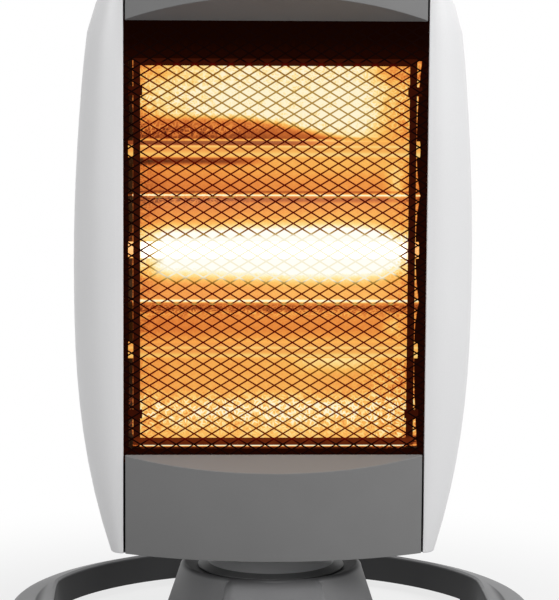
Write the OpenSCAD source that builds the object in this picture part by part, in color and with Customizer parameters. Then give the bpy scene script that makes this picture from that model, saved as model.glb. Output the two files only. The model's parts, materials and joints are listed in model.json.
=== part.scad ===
// Oscillating halogen heater: three quartz tubes in a troughed reflector behind a
// diamond mesh, on a ring base. Millimetres, +Z up, the front faces -Y.
// Origin: on the floor, on the axis that the body turns about.

/* [Body] */
// Width of the body at its widest level
body_w = 289.4; // [284:0.2:306]
// Width of the body at its underside
foot_w = 235; // [232:0.2:246]
// Height of the widest level above the body's underside
widest_h = 208.7; // [195:0.1:225]
// Radius of the body's top corners, seen from the front
corner_r = 100; // [92:1:104]
// Lean of the sides where the top corners begin, in degrees
shoulder_a = 6; // [3:0.1:7]
// Distance of the panels' front edges ahead of the turning axis
face_y = 48.5; // [47:0.5:52]
// Depth of the body behind the turning axis at its widest level
back_d = 52; // [51:0.5:58]
// Depth of the body behind the turning axis at its underside
back_foot_d = 41; // [40:0.5:46]
// Radius of the top edge at the back
back_r = 40; // [34:1:42]
// Radius of the top edge at the front
front_r = 32; // [26:1:36]
// Wall of the plastic panels and shells
wall = 2.5; // [2.2:0.1:2.8]
// Depth over which a side panel turns from the front to the side
side_turn = 36.5; // [33:0.5:40]
// Gap between two panels that meet in a visible joint
joint_gap = 0.5; // [0.3:0.1:0.8]

/* [Window] */
// Width of the window between the side panels
win_w = 217; // [214:1:220]
// Height of the window
win_h = 311.5; // [306:0.5:320]
// Height of the lower front panel
lower_h = 72; // [66:1:84]
// Height of the top front panel, up to the top cap
upper_h = 33; // [30:1:38]
// Height of the top cap
cap_h = 39; // [37:1:42]
// How far the front panels bow forward at their middle
bow = 29.5; // [22:0.5:32]
// Drop of the lower panel's sloping facet at its middle
smile_h = 8; // [5:0.5:14]
// Rise of the top panel's sloping facet at its middle
frown_h = 18; // [12:0.5:22]
// Shadow gap between a front panel and a side panel
shadow_gap = 1.5; // [1:0.1:2.2]

/* [Mesh grille] */
// Width of one diamond of the mesh, about
mesh_w = 12.8; // [11:0.1:15]
// Height of one diamond of the mesh, about
mesh_h = 7.8; // [7:0.1:10]
// Width of one strand
strand = 1; // [0.8:0.1:1.4]
// Thickness of the mesh
mesh_t = 1; // [0.8:0.1:1.4]
// Width of the flat rim round the mesh
mesh_rim = 2; // [1.6:0.1:2.2]

/* [Heating unit] */
// Outer diameter of a quartz tube
tube_d = 12; // [10:0.5:13]
// Wall of a quartz tube
tube_wall = 1.2; // [0.8:0.1:1.6]
// Diameter of a filament
filament_d = 2.4; // [1.6:0.1:3]
// Number of discs that hold a filament in the middle of its tube
filament_discs = 5; // [3:1:8]
// Vertical pitch of the tubes
tube_pitch = 73.2; // [71:0.1:75]
// Height of the middle tube above the window's lower edge
tube_mid_h = 145; // [141:1:147]
// Height from the middle tube to a crease between two troughs, either way
crease_h = 39; // [37:0.5:41]
// Height of the creases' middle above the middle tube
crease_lift = 2; // [0:0.5:3]
// Depth of the troughs
trough_d = 34; // [28:1:35]
// Thickness of the reflector sheet
reflector_t = 0.8; // [0.6:0.1:1.2]
// Height of the reflector's lower lip above the window's lower edge
reflector_h0 = 2; // [1:0.5:5]
// Height of the reflector's upper lip above the window's lower edge
reflector_h1 = 282; // [278:1:283]
// Distance of a tube's axis ahead of its trough's bottom
tube_stand = 20; // [16:0.5:22]
// Distance of the reflector's front lips behind the mesh
reflector_back = 15; // [14:0.5:17]
// Inner width of the inner housing
housing_w = 210.5; // [208:0.5:212]
// Thickness of the inner housing's sheet
housing_t = 1.2; // [0.8:0.1:1.5]
// Space between the troughs and the housing's back wall
housing_space = 16; // [12:1:18]
// Drop of the housing's floor below the window's lower edge
housing_drop = 2; // [1:0.5:4]
// Number of vent slots in the housing's roof
roof_slots = 12; // [6:1:14]
// Diameter of a ceramic end cap
ceramic_d = 19; // [17:0.5:21]
// Length of a ceramic end cap
ceramic_l = 15; // [13:0.5:16]
// Depth of a tube in its end cap
ceramic_grip = 8; // [6:0.5:9]
// Number of slots in the vent comb
comb_n = 40; // [30:1:44]
// Height of the vent comb
comb_h = 27; // [22:0.5:28]

/* [Bar frame] */
// Width of a bar of the frame behind the mesh
bar_w = 5; // [4:0.5:6]
// Depth of a bar of the frame
bar_t = 3; // [2:0.5:4]
// Distance of an upright bar's middle from the housing's side
bar_inset = 6.3; // [5.5:0.1:7.5]
// Height of the lower bar's underside above the window's lower edge
bar_h0 = 4.7; // [3:0.1:6]
// Height of the upper bar's top above the window's lower edge
bar_h1 = 284; // [280:0.5:286]
// Distance of a fixing lug from the frame's lower or upper end
lug_inset = 23; // [18:1:28]
// Height of a fixing lug
lug_h = 6.5; // [5.5:0.5:8]

/* [Rear shell and handle] */
// Number of rows of louvre slots
louvre_rows = 15; // [8:1:18]
// Vertical pitch of the louvre rows
louvre_pitch = 13; // [12:0.5:14]
// Height of one louvre slot
louvre_h = 4; // [3:0.5:5]
// Length of one louvre slot
louvre_l = 54; // [44:1:58]
// Height of the lowest louvre row above the body's underside
louvre_h0 = 78; // [60:1:100]
// Length of the carry handle
handle_l = 118; // [104:1:124]
// Height of the carry handle's section
handle_h = 18; // [15:1:22]
// Thickness of the handle's grip and legs
grip_t = 13; // [11:0.5:15]
// Clear finger gap between the body and the grip
finger_gap = 27; // [24:1:32]
// Height of the handle's middle below the top of the body
handle_drop = 72; // [66:1:80]

/* [Controls] */
// Diameter of the power selector knob
knob_d = 34; // [28:1:36]
// Height of the power selector knob
knob_h = 16; // [13:1:20]
// Distance of the controls from the middle of the top
control_x = 24; // [23:0.5:25]
// Distance of the controls ahead of the turning axis
control_y = 18; // [16:0.5:20]
// Diameter of the knob's shaft
shaft_d = 6; // [5:0.5:7]
// Width of the selector switch
switch_w = 26; // [24:1:27]
// Diameter of the oscillation button
button_d = 15; // [13:0.5:16]
// Travel of the oscillation button
button_travel = 3; // [2:0.5:3.5]

/* [Base] */
// Outer diameter of the ring
ring_d = 388; // [380:1:396]
// Width of the ring
ring_w = 23.6; // [23:0.2:26]
// Height of the ring's inner edge above the floor
ring_h = 27.4; // [27:0.2:29]
// Height of the hub above the floor
hub_h = 52; // [50:0.5:58]
// Height of the hub's rim above its top face
hub_rim_h = 3; // [1:0.5:4]
// Diameter of the hub at its rim
hub_top_d = 132; // [130:1:138]
// Diameter of the hub's cone at the floor
hub_foot_d = 169; // [164:1:172]
// Height of the ring's widest level above the floor
edge_z = 15.6; // [15:0.2:16.4]
// Radius of the ring's outer edge
edge_r = 8; // [7:0.5:8.5]
// Width of the front and rear arms at their top
arm_w = 72; // [66:1:78]
// Widening of each side of an arm towards the floor
arm_draft = 7; // [4:0.5:9]
// Radius of an arm's top edges
arm_r = 8; // [6:0.5:10]
// Corner radius of the windows in the base, at the rear
base_win_r = 24; // [18:1:28]
// Corner radius of the windows in the base, at the front
base_win_front_r = 42; // [36:1:44]
// Distance of the windows' front edge ahead of the turning axis
base_win_front = 40; // [38:1:60]
// Wall of the base moulding
base_wall = 3; // [2.6:0.1:3.2]
// Height of the rubber feet below the base moulding
foot_h = 6; // [5:0.5:6.5]
// Diameter of a rubber foot
foot_d = 16; // [12:1:17]
// Number of feet, and of screws, round the ring
foot_n = 6; // [4:1:8]
// Thickness of the steel base plate
plate_t = 1.5; // [1:0.1:2]
// Height of the ballast ring
ballast_h = 8; // [6:0.5:9]
// Diameter of the base's screws
screw_d = 3.5; // [3:0.5:4]

/* [Turntable] */
// Diameter of the turntable collar
collar_d = 108; // [104:1:112]
// Height of the collar's bevelled rim
collar_rim_h = 3.3; // [2.5:0.1:4]
// Diameter of the collar inside its bevelled rim
collar_in_d = 93; // [90:1:96]
// Diameter of the collar's neck
neck_d = 60; // [58:1:64]
// Height of the collar, from the hub to the body
collar_h = 19.3; // [19:0.1:23]
// Outer diameter of the pivot tube
pivot_d = 18; // [17:0.5:19]
// Bore of the pivot tube
pivot_bore = 13; // [10:0.5:14]
// Radial clearance of a shaft or tube in its bush
shaft_fit = 0.08; // [0.05:0.01:0.1]
// Running gap between faces that slide on each other
run_gap = 0.3; // [0.2:0.05:0.4]
// Half of the oscillation angle, in degrees
swing_a = 35; // [20:1:45]

/* [Gears] */
// Module of the gears
gear_m = 1; // [0.9:0.05:1.05]
// Teeth of the fixed gear
gear_z = 36; // [34:2:38]
// Teeth of the drive pinion
pinion_z = 12; // [12:2:14]
// Pressure angle of the teeth
pressure_a = 25; // [20:1:25]
// Width of the fixed gear's teeth
gear_b = 8; // [7:0.5:9]
// Play between the teeth along the pitch circle
backlash = 0.3; // [0.2:0.05:0.4]
// Diameter of the motor
motor_d = 44; // [40:1:46]
// Height of the motor
motor_h = 18; // [15:1:22]
// Distance of the motor's output shaft from its middle
motor_off = 15; // [14:0.5:16]

/* [Tip-over switch] */
// Diameter of the plunger under the base
plunger_d = 9; // [7:0.5:11]
// Travel of the plunger
plunger_travel = 5; // [3:0.5:6]
// Distance of the plunger ahead of the turning axis
plunger_y = 52; // [45:1:58]

/* [Hidden] */

$fn = 64;
eps = 0.01;

// Levels above the floor
body_z = hub_h + collar_h;
win_z0 = body_z + lower_h;
win_z1 = win_z0 + win_h;
cap_z = win_z1 + upper_h;
body_top = cap_z + cap_h;
widest_z = body_z + widest_h;

// Outline of the body from the front: power curves, then an arc at the top corner
shoulder_z = body_top - corner_r * (1 - sin(shoulder_a));
shoulder_p = 1.85;
foot_p = 2.75;
shoulder_in = tan(shoulder_a) * (shoulder_z - widest_z) / shoulder_p;
foot_in = (body_w - foot_w) / 2;
corner_x = body_w / 2 - shoulder_in - corner_r * cos(shoulder_a);
corner_z = body_top - corner_r;

// Half of the body's width at level z
function half_w(z) =
    z <= widest_z ? body_w / 2 - foot_in * pow((widest_z - z) / widest_h, foot_p)
  : z <= shoulder_z ? body_w / 2 - shoulder_in * pow((z - widest_z) / (shoulder_z - widest_z), shoulder_p)
  : corner_x + sqrt(max(0, pow(corner_r, 2) - pow(z - corner_z, 2)));

// Half of the window's width, and the exponents of the body's plan
win_x = win_w / 2;
back_lean = 3;
back_p = 2.2;
turn_p = 0.78;
plan_n = 2.6;
front_n = 1.7;

// How far an edge of radius r at the top of the body has drawn in at level z
function edge_in(z, r) = z <= body_top - r ? 0 : r - sqrt(max(0, r * r - pow(z - body_top + r, 2)));

// Depth of the body behind the axis at level z
function back_y(z) =
    z <= widest_z ? back_d - (back_d - back_foot_d) * pow((widest_z - z) / widest_h, back_p)
  : back_d - back_lean * pow((z - widest_z) / (body_top - widest_z), back_p) - edge_in(z, back_r);

// Width and depth of a side panel's turn from the front to the side
function turn_w(z) = half_w(z) - win_x;
function turn_y(z) = -face_y + side_turn * pow(max(0, turn_w(z)) / (body_w / 2 - win_x), turn_p);

// A point of the body's plan on the right: u = 0 at the window, 1 at the side, 2 at the back
function plan_pt(z, u) =
    u <= 1 ? [win_x + turn_w(z) * sin(90 * u), -face_y + (turn_y(z) + face_y) * (1 - cos(90 * u))]
  : [half_w(z) * pow(cos(90 * (u - 1)), 2 / plan_n),
     turn_y(z) + (back_y(z) - turn_y(z)) * pow(sin(90 * (u - 1)), 2 / plan_n)];

// Depth of the body's back at level z, x to the side
function back_at(z, x) =
    turn_y(z) + (back_y(z) - turn_y(z)) * pow(1 - pow(abs(x) / half_w(z), plan_n), 1 / plan_n);

// Points of a polyline moved by d to their left, reversed, mirrored, or lifted to level z
function unit(v) = v / norm(v);
function left_of(v) = [-v[1], v[0]];
function shifted(p, d) = [for (i = [0 : len(p) - 1])
    p[i] + d * left_of(unit(p[min(i + 1, len(p) - 1)] - p[max(i - 1, 0)]))];
function loop_shifted(p, d) = let (n = len(p)) [for (i = [0 : n - 1])
    p[i] + d * left_of(unit(p[(i + 1) % n] - p[(i + n - 1) % n]))];
function reversed(p) = [for (i = [len(p) - 1 : -1 : 0]) p[i]];
function mirrored(p) = [for (i = [len(p) - 1 : -1 : 0]) [-p[i][0], p[i][1]]];
function at_level(p, z) = [for (q = p) [q[0], q[1], z]];
function arc(c, r, a0, a1, n) =
    [for (i = [0 : n]) let (a = a0 + (a1 - a0) * i / n) c + r * [cos(a), sin(a)]];

// Faces between the loops of one skin; the first point of the skin has number s
function wall_faces(m, n, s) = [for (k = [0 : m - 2], i = [0 : n - 1], t = [0, 1])
    let (a = s + k * n + i, b = s + k * n + (i + 1) % n)
    t == 0 ? [a, a + n, b + n] : [a, b + n, b]];
function flipped(f) = [for (t = f) reversed(t)];

// Faces that close a wall's section of n points, in strips between its outer and inner lines
function strip_faces(n, s) = [for (i = [0 : n / 2 - 2], t = [0, 1])
    let (a = s + i, b = s + n - 2 - i)
    t == 0 ? [a, a + 1, b] : [a, b, b + 1]];

// A wall through sections of equal length, each its outer line and then its inner line back
module skin(loops) {
    n = len(loops[0]);
    m = len(loops);
    polyhedron(points = [for (l = loops) each l],
        faces = concat(strip_faces(n, 0), wall_faces(m, n, 0), flipped(strip_faces(n, (m - 1) * n))));
}

// A cup, open below, between outer and inner loops of equal length
module cup(outer, inner) {
    n = len(outer[0]);
    mo = len(outer);
    mi = len(inner);
    s = mo * n;
    polyhedron(points = concat([for (l = outer) each l], [for (l = inner) each l]),
        faces = concat(wall_faces(mo, n, 0), [[for (i = [n - 1 : -1 : 0]) (mo - 1) * n + i]],
                       flipped(wall_faces(mi, n, s)), [[for (i = [0 : n - 1]) s + (mi - 1) * n + i]],
                       [for (i = [0 : n - 1]) [i, (i + 1) % n, s + (i + 1) % n]],
                       [for (i = [0 : n - 1]) [i, s + (i + 1) % n, s + i]]));
}

module both_sides() {
    children();
    mirror([1, 0, 0]) children();
}

module ring_copies(n, r, a0 = 0) {
    for (i = [0 : n - 1]) rotate(a0 + i * 360 / n) translate([r, 0, 0]) children();
}

// A pan-head screw: head on z = 0, shank along -Z
module screw(d, l) {
    translate([0, 0, -l]) cylinder(d = d, h = l + eps);
    difference() {
        cylinder(d = d * 1.9, h = d * 0.6);
        translate([-d, -d * 0.12, d * 0.3]) cube([d * 2, d * 0.24, d]);
    }
}

/* Front panels */

bow_r = (pow(win_x, 2) + pow(bow, 2)) / (2 * bow);
panel_x = win_x - shadow_gap;

// Plan of a bowed front panel, moved in by d
module bow_plan(d) {
    intersection() {
        translate([0, bow_r - face_y - bow]) circle(r = bow_r - d, $fn = 160);
        translate([-panel_x + d, -face_y - bow - 1]) square([2 * panel_x - 2 * d, bow + 1 + wall]);
    }
}

// The bowed block, cut by the facet that slopes from the panel's window edge to its middle
module bow_block(h, facet_h, d) {
    slope = atan2(facet_h, bow);
    difference() {
        translate([0, 0, -1]) linear_extrude(h + 1) bow_plan(d);
        translate([0, -face_y, h - d / cos(slope)]) rotate([slope, 0, 0])
            translate([-win_w, -3 * bow, 0]) cube([2 * win_w, 6 * bow, 3 * bow]);
    }
}

// A front panel that stands on z = 0 with its facet at the top
module front_panel(h, facet_h) {
    difference() {
        intersection() {
            bow_block(h, facet_h, 0);
            translate([-win_w, -win_w, 0]) cube([2 * win_w, 2 * win_w, h]);
        }
        bow_block(h, facet_h, wall);
    }
}

module lower_panel() {
    color("#5b5d5f") translate([0, 0, body_z]) front_panel(lower_h, smile_h);
}

module upper_panel() {
    color("#5b5d5f") translate([0, 0, cap_z - joint_gap]) mirror([0, 0, 1])
        front_panel(upper_h - joint_gap, frown_h);
}

/* Shells */

shell_z1 = cap_z - joint_gap;
seam_u = 1.2;
seam_gap_u = joint_gap / 90;
side_steps = 12;
side_levels = 20;
back_steps = 10;
back_levels = 11;

// Closed section of the right side panel at level z
function side_section(z) =
    let (outer = [for (i = [0 : side_steps]) plan_pt(z, seam_u * i / side_steps)],
         inner = shifted(outer, wall))
    concat(outer, reversed(inner));

module side_panel() {
    skin([for (k = [0 : side_levels]) let (z = body_z + (shell_z1 - body_z) * k / side_levels)
        at_level(side_section(z), z)]);
}

module side_panel_right() { color("#d5d7d9") side_panel(); }
module side_panel_left() { color("#d5d7d9") mirror([1, 0, 0]) side_panel(); }

// Closed section of the rear shell at level z
function rear_section(z) =
    let (u0 = seam_u + seam_gap_u,
         right = [for (i = [0 : back_steps - 1]) plan_pt(z, u0 + (2 - u0) * i / back_steps)],
         outer = concat(right, [[0, back_y(z)]], mirrored(right)),
         inner = shifted(outer, wall))
    concat(outer, reversed(inner));

// Where the housing's bosses, the handle and its sockets are
housing_back = -face_y + wall + run_gap + mesh_t + reflector_back + trough_d + reflector_t
             + housing_space + housing_t;
boss_x = 80;
boss_d = 9;
boss_z = [win_z0 + 36, win_z1 - 44];
case_screw_l = 12;
case_hole_l = case_screw_l + 2;
handle_z = body_top - handle_drop;
leg_x = (handle_l - grip_t) / 2;
grip_y = back_y(handle_z) + finger_gap;
socket_y = back_at(handle_z, handle_l / 2) - 9;

module rear_shell() {
    color("#2c2d2f") difference() {
        union() {
            skin([for (k = [0 : back_levels]) let (z = body_z + (shell_z1 - body_z) * k / back_levels)
                at_level(rear_section(z), z)]);
            for (z = boss_z) both_sides() translate([boss_x, housing_back, z]) rotate([-90, 0, 0])
                cylinder(d = boss_d, h = back_at(z, boss_x) - wall / 2 - housing_back);
            both_sides()
                translate([leg_x - grip_t / 2 - wall, socket_y - wall, handle_z - handle_h / 2 - wall])
                cube([grip_t + 2 * wall, back_at(handle_z, leg_x + grip_t / 2) - socket_y + wall / 2,
                      handle_h + 2 * wall]);
        }
        for (i = [0 : louvre_rows - 1]) both_sides()
            translate([4, back_foot_d - 4, body_z + louvre_h0 + i * louvre_pitch])
                cube([louvre_l, back_d, louvre_h]);
        for (z = boss_z) both_sides() translate([boss_x, housing_back - 1, z]) rotate([-90, 0, 0])
            cylinder(d = screw_d, h = case_hole_l);
        both_sides()
            translate([leg_x - grip_t / 2 - run_gap, socket_y - eps, handle_z - handle_h / 2 - run_gap])
            cube([grip_t + 2 * run_gap, back_d, handle_h + 2 * run_gap]);
        both_sides() translate([leg_x, socket_y - wall - 1, handle_z]) rotate([-90, 0, 0])
            cylinder(d = screw_d, h = wall + 2);
    }
}

// The whole plan of the body at level z of the top cap
cap_steps = 10;
cap_levels = 8;
side_rise = 20;

function cap_side_y(z) = turn_y(cap_z) + side_rise * (z - cap_z) / cap_h;
function cap_front_y(z) = -face_y - bow + edge_in(z, front_r);
function cap_plan(z) =
    let (ys = cap_side_y(z), w = half_w(z),
         front = [for (i = [0 : cap_steps]) let (a = 90 * i / cap_steps)
             [w * pow(sin(a), 2 / front_n), ys + (cap_front_y(z) - ys) * pow(cos(a), 2 / front_n)]],
         back = [for (i = [1 : cap_steps]) let (a = 90 * i / cap_steps)
             [w * pow(cos(a), 2 / plan_n), ys + (back_y(z) - ys) * pow(sin(a), 2 / plan_n)]],
         half = concat(front, back),
         left = mirrored([for (i = [1 : len(half) - 2]) half[i]]))
    concat(half, left);

cap_hole_d = shaft_d + 1;
button_fit = 0.4;

module top_cap() {
    color("#515355") difference() {
        cup([for (k = [0 : cap_levels]) let (z = cap_z + cap_h * sin(90 * k / cap_levels))
                at_level(cap_plan(z), z)],
            [for (k = [0 : cap_levels - 2])
                let (z = cap_z + (cap_h - wall) * sin(90 * k / (cap_levels - 2)))
                at_level(loop_shifted(cap_plan(z + wall), wall * 0.8), z)]);
        translate([-control_x, -control_y, body_top - 2 * wall]) cylinder(d = cap_hole_d, h = 4 * wall);
        translate([control_x, -control_y, body_top - 2 * wall])
            cylinder(d = button_d + 2 * button_fit, h = 4 * wall);
    }
}

// Plan of the underside tray: inside the side panels and the rear shell, and behind the lower panel
tray_t = 2.5;
tray_in = wall + joint_gap;

module tray_plan() {
    side = [for (i = [0 : 16]) plan_pt(body_z, 2 * i / 16)];
    inner = shifted(side, tray_in);
    right = concat([[panel_x - tray_in, -face_y + 1], [panel_x - tray_in, -face_y + tray_in]],
                   [for (i = [1 : 15]) inner[i]]);
    polygon(concat(right, [[0, back_y(body_z) - tray_in]], mirrored(right)));
    bow_plan(tray_in);
}

pinion_x = gear_m * (gear_z + pinion_z) / 2;
motor_x = pinion_x + motor_off;
tray_screw_r = 21;
tray_top = body_z + tray_t;
ear_r = motor_d / 2 + 5;

module tray_screw_places() { ring_copies(3, tray_screw_r, 60) children(); }
module motor_screw_places() { translate([motor_x, 0, 0]) ring_copies(2, ear_r, 45) children(); }

module bottom_tray() {
    color("#2c2d2f") difference() {
        translate([0, 0, body_z]) linear_extrude(tray_t) tray_plan();
        translate([0, 0, body_z - 1]) cylinder(d = pivot_d + 2, h = tray_t + 2);
        translate([pinion_x, 0, body_z - 1]) cylinder(d = pinion_hub_d + 1, h = tray_t + 2);
        translate([0, 0, body_z - 1]) tray_screw_places() cylinder(d = screw_d, h = tray_t + 2);
        translate([0, 0, body_z - 1]) motor_screw_places() cylinder(d = 3, h = tray_t + 2);
    }
}

module tray_screws() {
    color("silver") translate([0, 0, tray_top]) tray_screw_places() screw(screw_d, tray_t + 3.5);
}

/* Turntable */

washer_t = 1.5;
gear_top = hub_h + gear_b;
boss_z0 = gear_top + washer_t + run_gap;
pinion_hub_d = 9;

// A stop block on the hub, and two ears of the collar that meet it at the ends of the swing
stop_r = 35;
stop_w = 5;
stop_l = 4;
stop_h = 2.5;
stop_a = swing_a + 2 * asin(stop_w / 2 / stop_r) + 0.5;
module stop_block(a, h) {
    rotate(a - 90) translate([stop_r - stop_l / 2, -stop_w / 2, 0]) cube([stop_l, stop_w, h]);
}

module turntable_collar() {
    r0 = collar_d / 2;
    r1 = collar_in_d / 2;
    r2 = neck_d / 2;
    z0 = hub_h + run_gap;
    z1 = z0 + collar_rim_h;
    skin_drop = wall * 1.1;
    inner_r = r2 - 2;
    color("#4d4f51") difference() {
        union() {
            rotate_extrude($fn = 96) polygon([
                [pivot_d / 2 + shaft_fit, boss_z0], [inner_r, boss_z0], [r1, z1 - skin_drop],
                [r0 - wall, z0],
                [r0 - 0.5, z0], [r0, z0 + 0.5], [r0, z0 + 1], [r1 + 0.6, z1 - 0.1], [r1 - 0.6, z1],
                [r2, boss_z0 + skin_drop], [r2, body_z], [pivot_d / 2 + shaft_fit, body_z]]);
            for (a = [-stop_a, stop_a]) translate([0, 0, z0]) stop_block(a, boss_z0 - 2 - z0);
        }
        translate([pinion_x, 0, boss_z0 - 1]) cylinder(d = pinion_hub_d + 1, h = body_z - boss_z0 + 2);
        translate([0, 0, boss_z0 - 1]) tray_screw_places() cylinder(d = screw_d, h = body_z - boss_z0 + 2);
    }
}

// Plan of an involute gear with one tooth on the X axis, thinned for the play
function involute(r, rb) = let (a = acos(min(1, rb / r))) tan(a) - a * PI / 180;
function tooth_a(r, z) =
    let (rp = gear_m * z / 2, rb = rp * cos(pressure_a), rr = max(r, rb))
    90 / z + (involute(rp, rb) - involute(rr, rb) - backlash / 4 / rp) * 180 / PI;
function tooth(z) =
    let (rp = gear_m * z / 2, rf = rp - 1.25 * gear_m, ra = rp + gear_m, n = 4,
         flank = [for (i = [0 : n]) let (r = rf + (ra - rf) * i / n) [r, tooth_a(r, z)]])
    concat([for (p = flank) p[0] * [cos(p[1]), -sin(p[1])]],
           [for (p = reversed(flank)) p[0] * [cos(p[1]), sin(p[1])]]);
function turned(p, a) = [for (q = p) [q[0] * cos(a) - q[1] * sin(a), q[0] * sin(a) + q[1] * cos(a)]];
module gear_plan(z) { polygon([for (i = [0 : z - 1]) each turned(tooth(z), i * 360 / z)]); }

hub_plate_t = 4;
flange_t = 3;
flange_d = 40;
pivot_screw_r = 13;
pivot_screw_d = 2.5;
pivot_screw_l = flange_t + hub_plate_t + gear_b - 2;
module pivot_screw_places() { ring_copies(3, pivot_screw_r, 30) children(); }

module fixed_gear() {
    color("#e8e4da") difference() {
        translate([0, 0, hub_h]) linear_extrude(gear_b) gear_plan(gear_z);
        translate([0, 0, hub_h - 1]) cylinder(d = pivot_d + 2 * shaft_fit, h = gear_b + 2);
        translate([0, 0, hub_h - 1]) pivot_screw_places() cylinder(d = pivot_screw_d, h = gear_b - 1);
    }
}

nut_h = 7;
nut_z = tray_top + run_gap;

module pivot_tube() {
    z0 = hub_h - hub_plate_t - flange_t;
    color("silver") difference() {
        union() {
            translate([0, 0, z0]) cylinder(d = flange_d, h = flange_t);
            translate([0, 0, z0]) cylinder(d = pivot_d, h = nut_z + nut_h + 3 - z0);
        }
        translate([0, 0, z0 - 1]) cylinder(d = pivot_bore, h = body_top);
        translate([0, 0, z0 - 1]) pivot_screw_places() cylinder(d = pivot_screw_d, h = flange_t + 2);
    }
}

module pivot_screws() {
    color("dimgray") translate([0, 0, hub_h - hub_plate_t - flange_t]) mirror([0, 0, 1])
        pivot_screw_places() screw(pivot_screw_d, pivot_screw_l);
}

module thrust_washer() {
    color("white") translate([0, 0, gear_top]) difference() {
        cylinder(d = pivot_d + 14, h = washer_t);
        translate([0, 0, -1]) cylinder(d = pivot_d + 2 * shaft_fit, h = washer_t + 2);
    }
}

module retaining_nut() {
    color("dimgray") translate([0, 0, nut_z]) difference() {
        cylinder(d = pivot_d + 12, h = nut_h, $fn = 6);
        translate([0, 0, -1]) cylinder(d = pivot_d + eps, h = nut_h + 2);
    }
}

/* Oscillation drive */

pinion_z0 = hub_h + 1;
pinion_top = gear_top - 0.5;
shaft_top = tray_top + 8;

module drive_pinion() {
    color("#e8e4da") translate([pinion_x, 0, 0]) {
        translate([0, 0, pinion_z0]) linear_extrude(pinion_top - pinion_z0)
            rotate(180 + 180 / pinion_z) gear_plan(pinion_z);
        translate([0, 0, pinion_top - eps]) cylinder(d = pinion_hub_d, h = 4);
        translate([0, 0, pinion_top]) cylinder(d = shaft_d, h = shaft_top - pinion_top);
    }
}

module oscillation_motor() {
    color("gainsboro") difference() {
        union() {
            translate([motor_x, 0, tray_top]) cylinder(d = motor_d, h = motor_h);
            translate([motor_x, 0, tray_top + motor_h - eps]) cylinder(d = motor_d - 8, h = 1.5);
            translate([0, 0, tray_top]) motor_screw_places() cylinder(d = 9, h = 1.5);
            translate([motor_x, 0, tray_top]) rotate(45) translate([-ear_r, -4.5, 0])
                cube([2 * ear_r, 9, 1.5]);
        }
        translate([pinion_x, 0, tray_top - 1])
            cylinder(d = shaft_d + 2 * shaft_fit, h = shaft_top - tray_top + 1.5);
        translate([0, 0, tray_top - 1]) motor_screw_places() cylinder(d = 3, h = 4);
    }
}

module motor_screws() {
    color("silver") translate([0, 0, tray_top + 1.5]) motor_screw_places() screw(3, tray_t + 1.5);
}

terminal_x = 0.78 * foot_w / 2;

module terminal_block() {
    size = [52, 20, 16];
    color("ivory") translate([-terminal_x, -4, tray_top]) difference() {
        cube(size);
        for (i = [0 : 3])
            translate([size[0] * (i + 0.5) / 4, size[1] / 2, size[2] - 5]) cylinder(d = 7, h = 6);
        for (i = [1 : 3]) translate([size[0] * i / 4 - 1, -1, 6]) cube([2, size[1] + 2, size[2]]);
    }
}

/* Window: mesh, bar frame, housing, reflector */

mesh_y = -face_y + wall + run_gap;
mesh_lap = 0.35;
mesh_cols = round(win_w / mesh_w);
mesh_rows = round(win_h / mesh_h);
mesh_dx = (win_w + 2 * mesh_lap) / mesh_cols;
mesh_dz = (win_h + 2 * mesh_lap) / mesh_rows;
mesh_size = [mesh_cols * mesh_dx, mesh_rows * mesh_dz];
mesh_a = atan2(mesh_dz, mesh_dx);
mesh_slip = 0.04;

// Strands that rise to the right across the window
module strands() {
    for (k = [0 : mesh_cols + mesh_rows - 1]) {
        c = (k - mesh_cols + 0.5) * mesh_dz;
        x0 = max(0, -c / tan(mesh_a));
        x1 = min(mesh_size[0], (mesh_size[1] - c) / tan(mesh_a));
        translate([x0, c + x0 * tan(mesh_a)]) rotate(mesh_a) translate([-mesh_rim / 2, -strand / 2])
            square([(x1 - x0) / cos(mesh_a) + mesh_rim, strand]);
    }
}

module mesh_grille() {
    layer = (mesh_t - mesh_slip) / 2;
    color("#1d1a18") translate([-mesh_size[0] / 2, mesh_y + mesh_t, win_z0 - mesh_lap]) rotate([90, 0, 0]) {
        linear_extrude(mesh_t) difference() {
            translate([-mesh_rim, -mesh_rim]) square(mesh_size + 2 * [mesh_rim, mesh_rim]);
            square(mesh_size);
        }
        linear_extrude(layer) strands();
        translate([0, 0, layer + mesh_slip]) linear_extrude(layer)
            translate([mesh_size[0], 0]) mirror([1, 0]) strands();
    }
}

housing_y0 = mesh_y + mesh_t;
housing_z0 = win_z0 - housing_drop;
housing_z1 = win_z1 + mesh_lap;
housing_in_h = housing_z1 - housing_z0;
lip_y = housing_y0 + reflector_back;
trough_y = lip_y + trough_d;
tube_y = trough_y - tube_stand;
tube_z = [for (i = [1, 0, -1]) win_z0 + tube_mid_h + i * tube_pitch];
flange_out = mesh_lap + mesh_rim;
tube_hole_d = tube_d + 1;
slot_pitch = housing_w / roof_slots;

module tube_places() { for (z = tube_z) translate([0, tube_y, z]) children(); }

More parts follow.
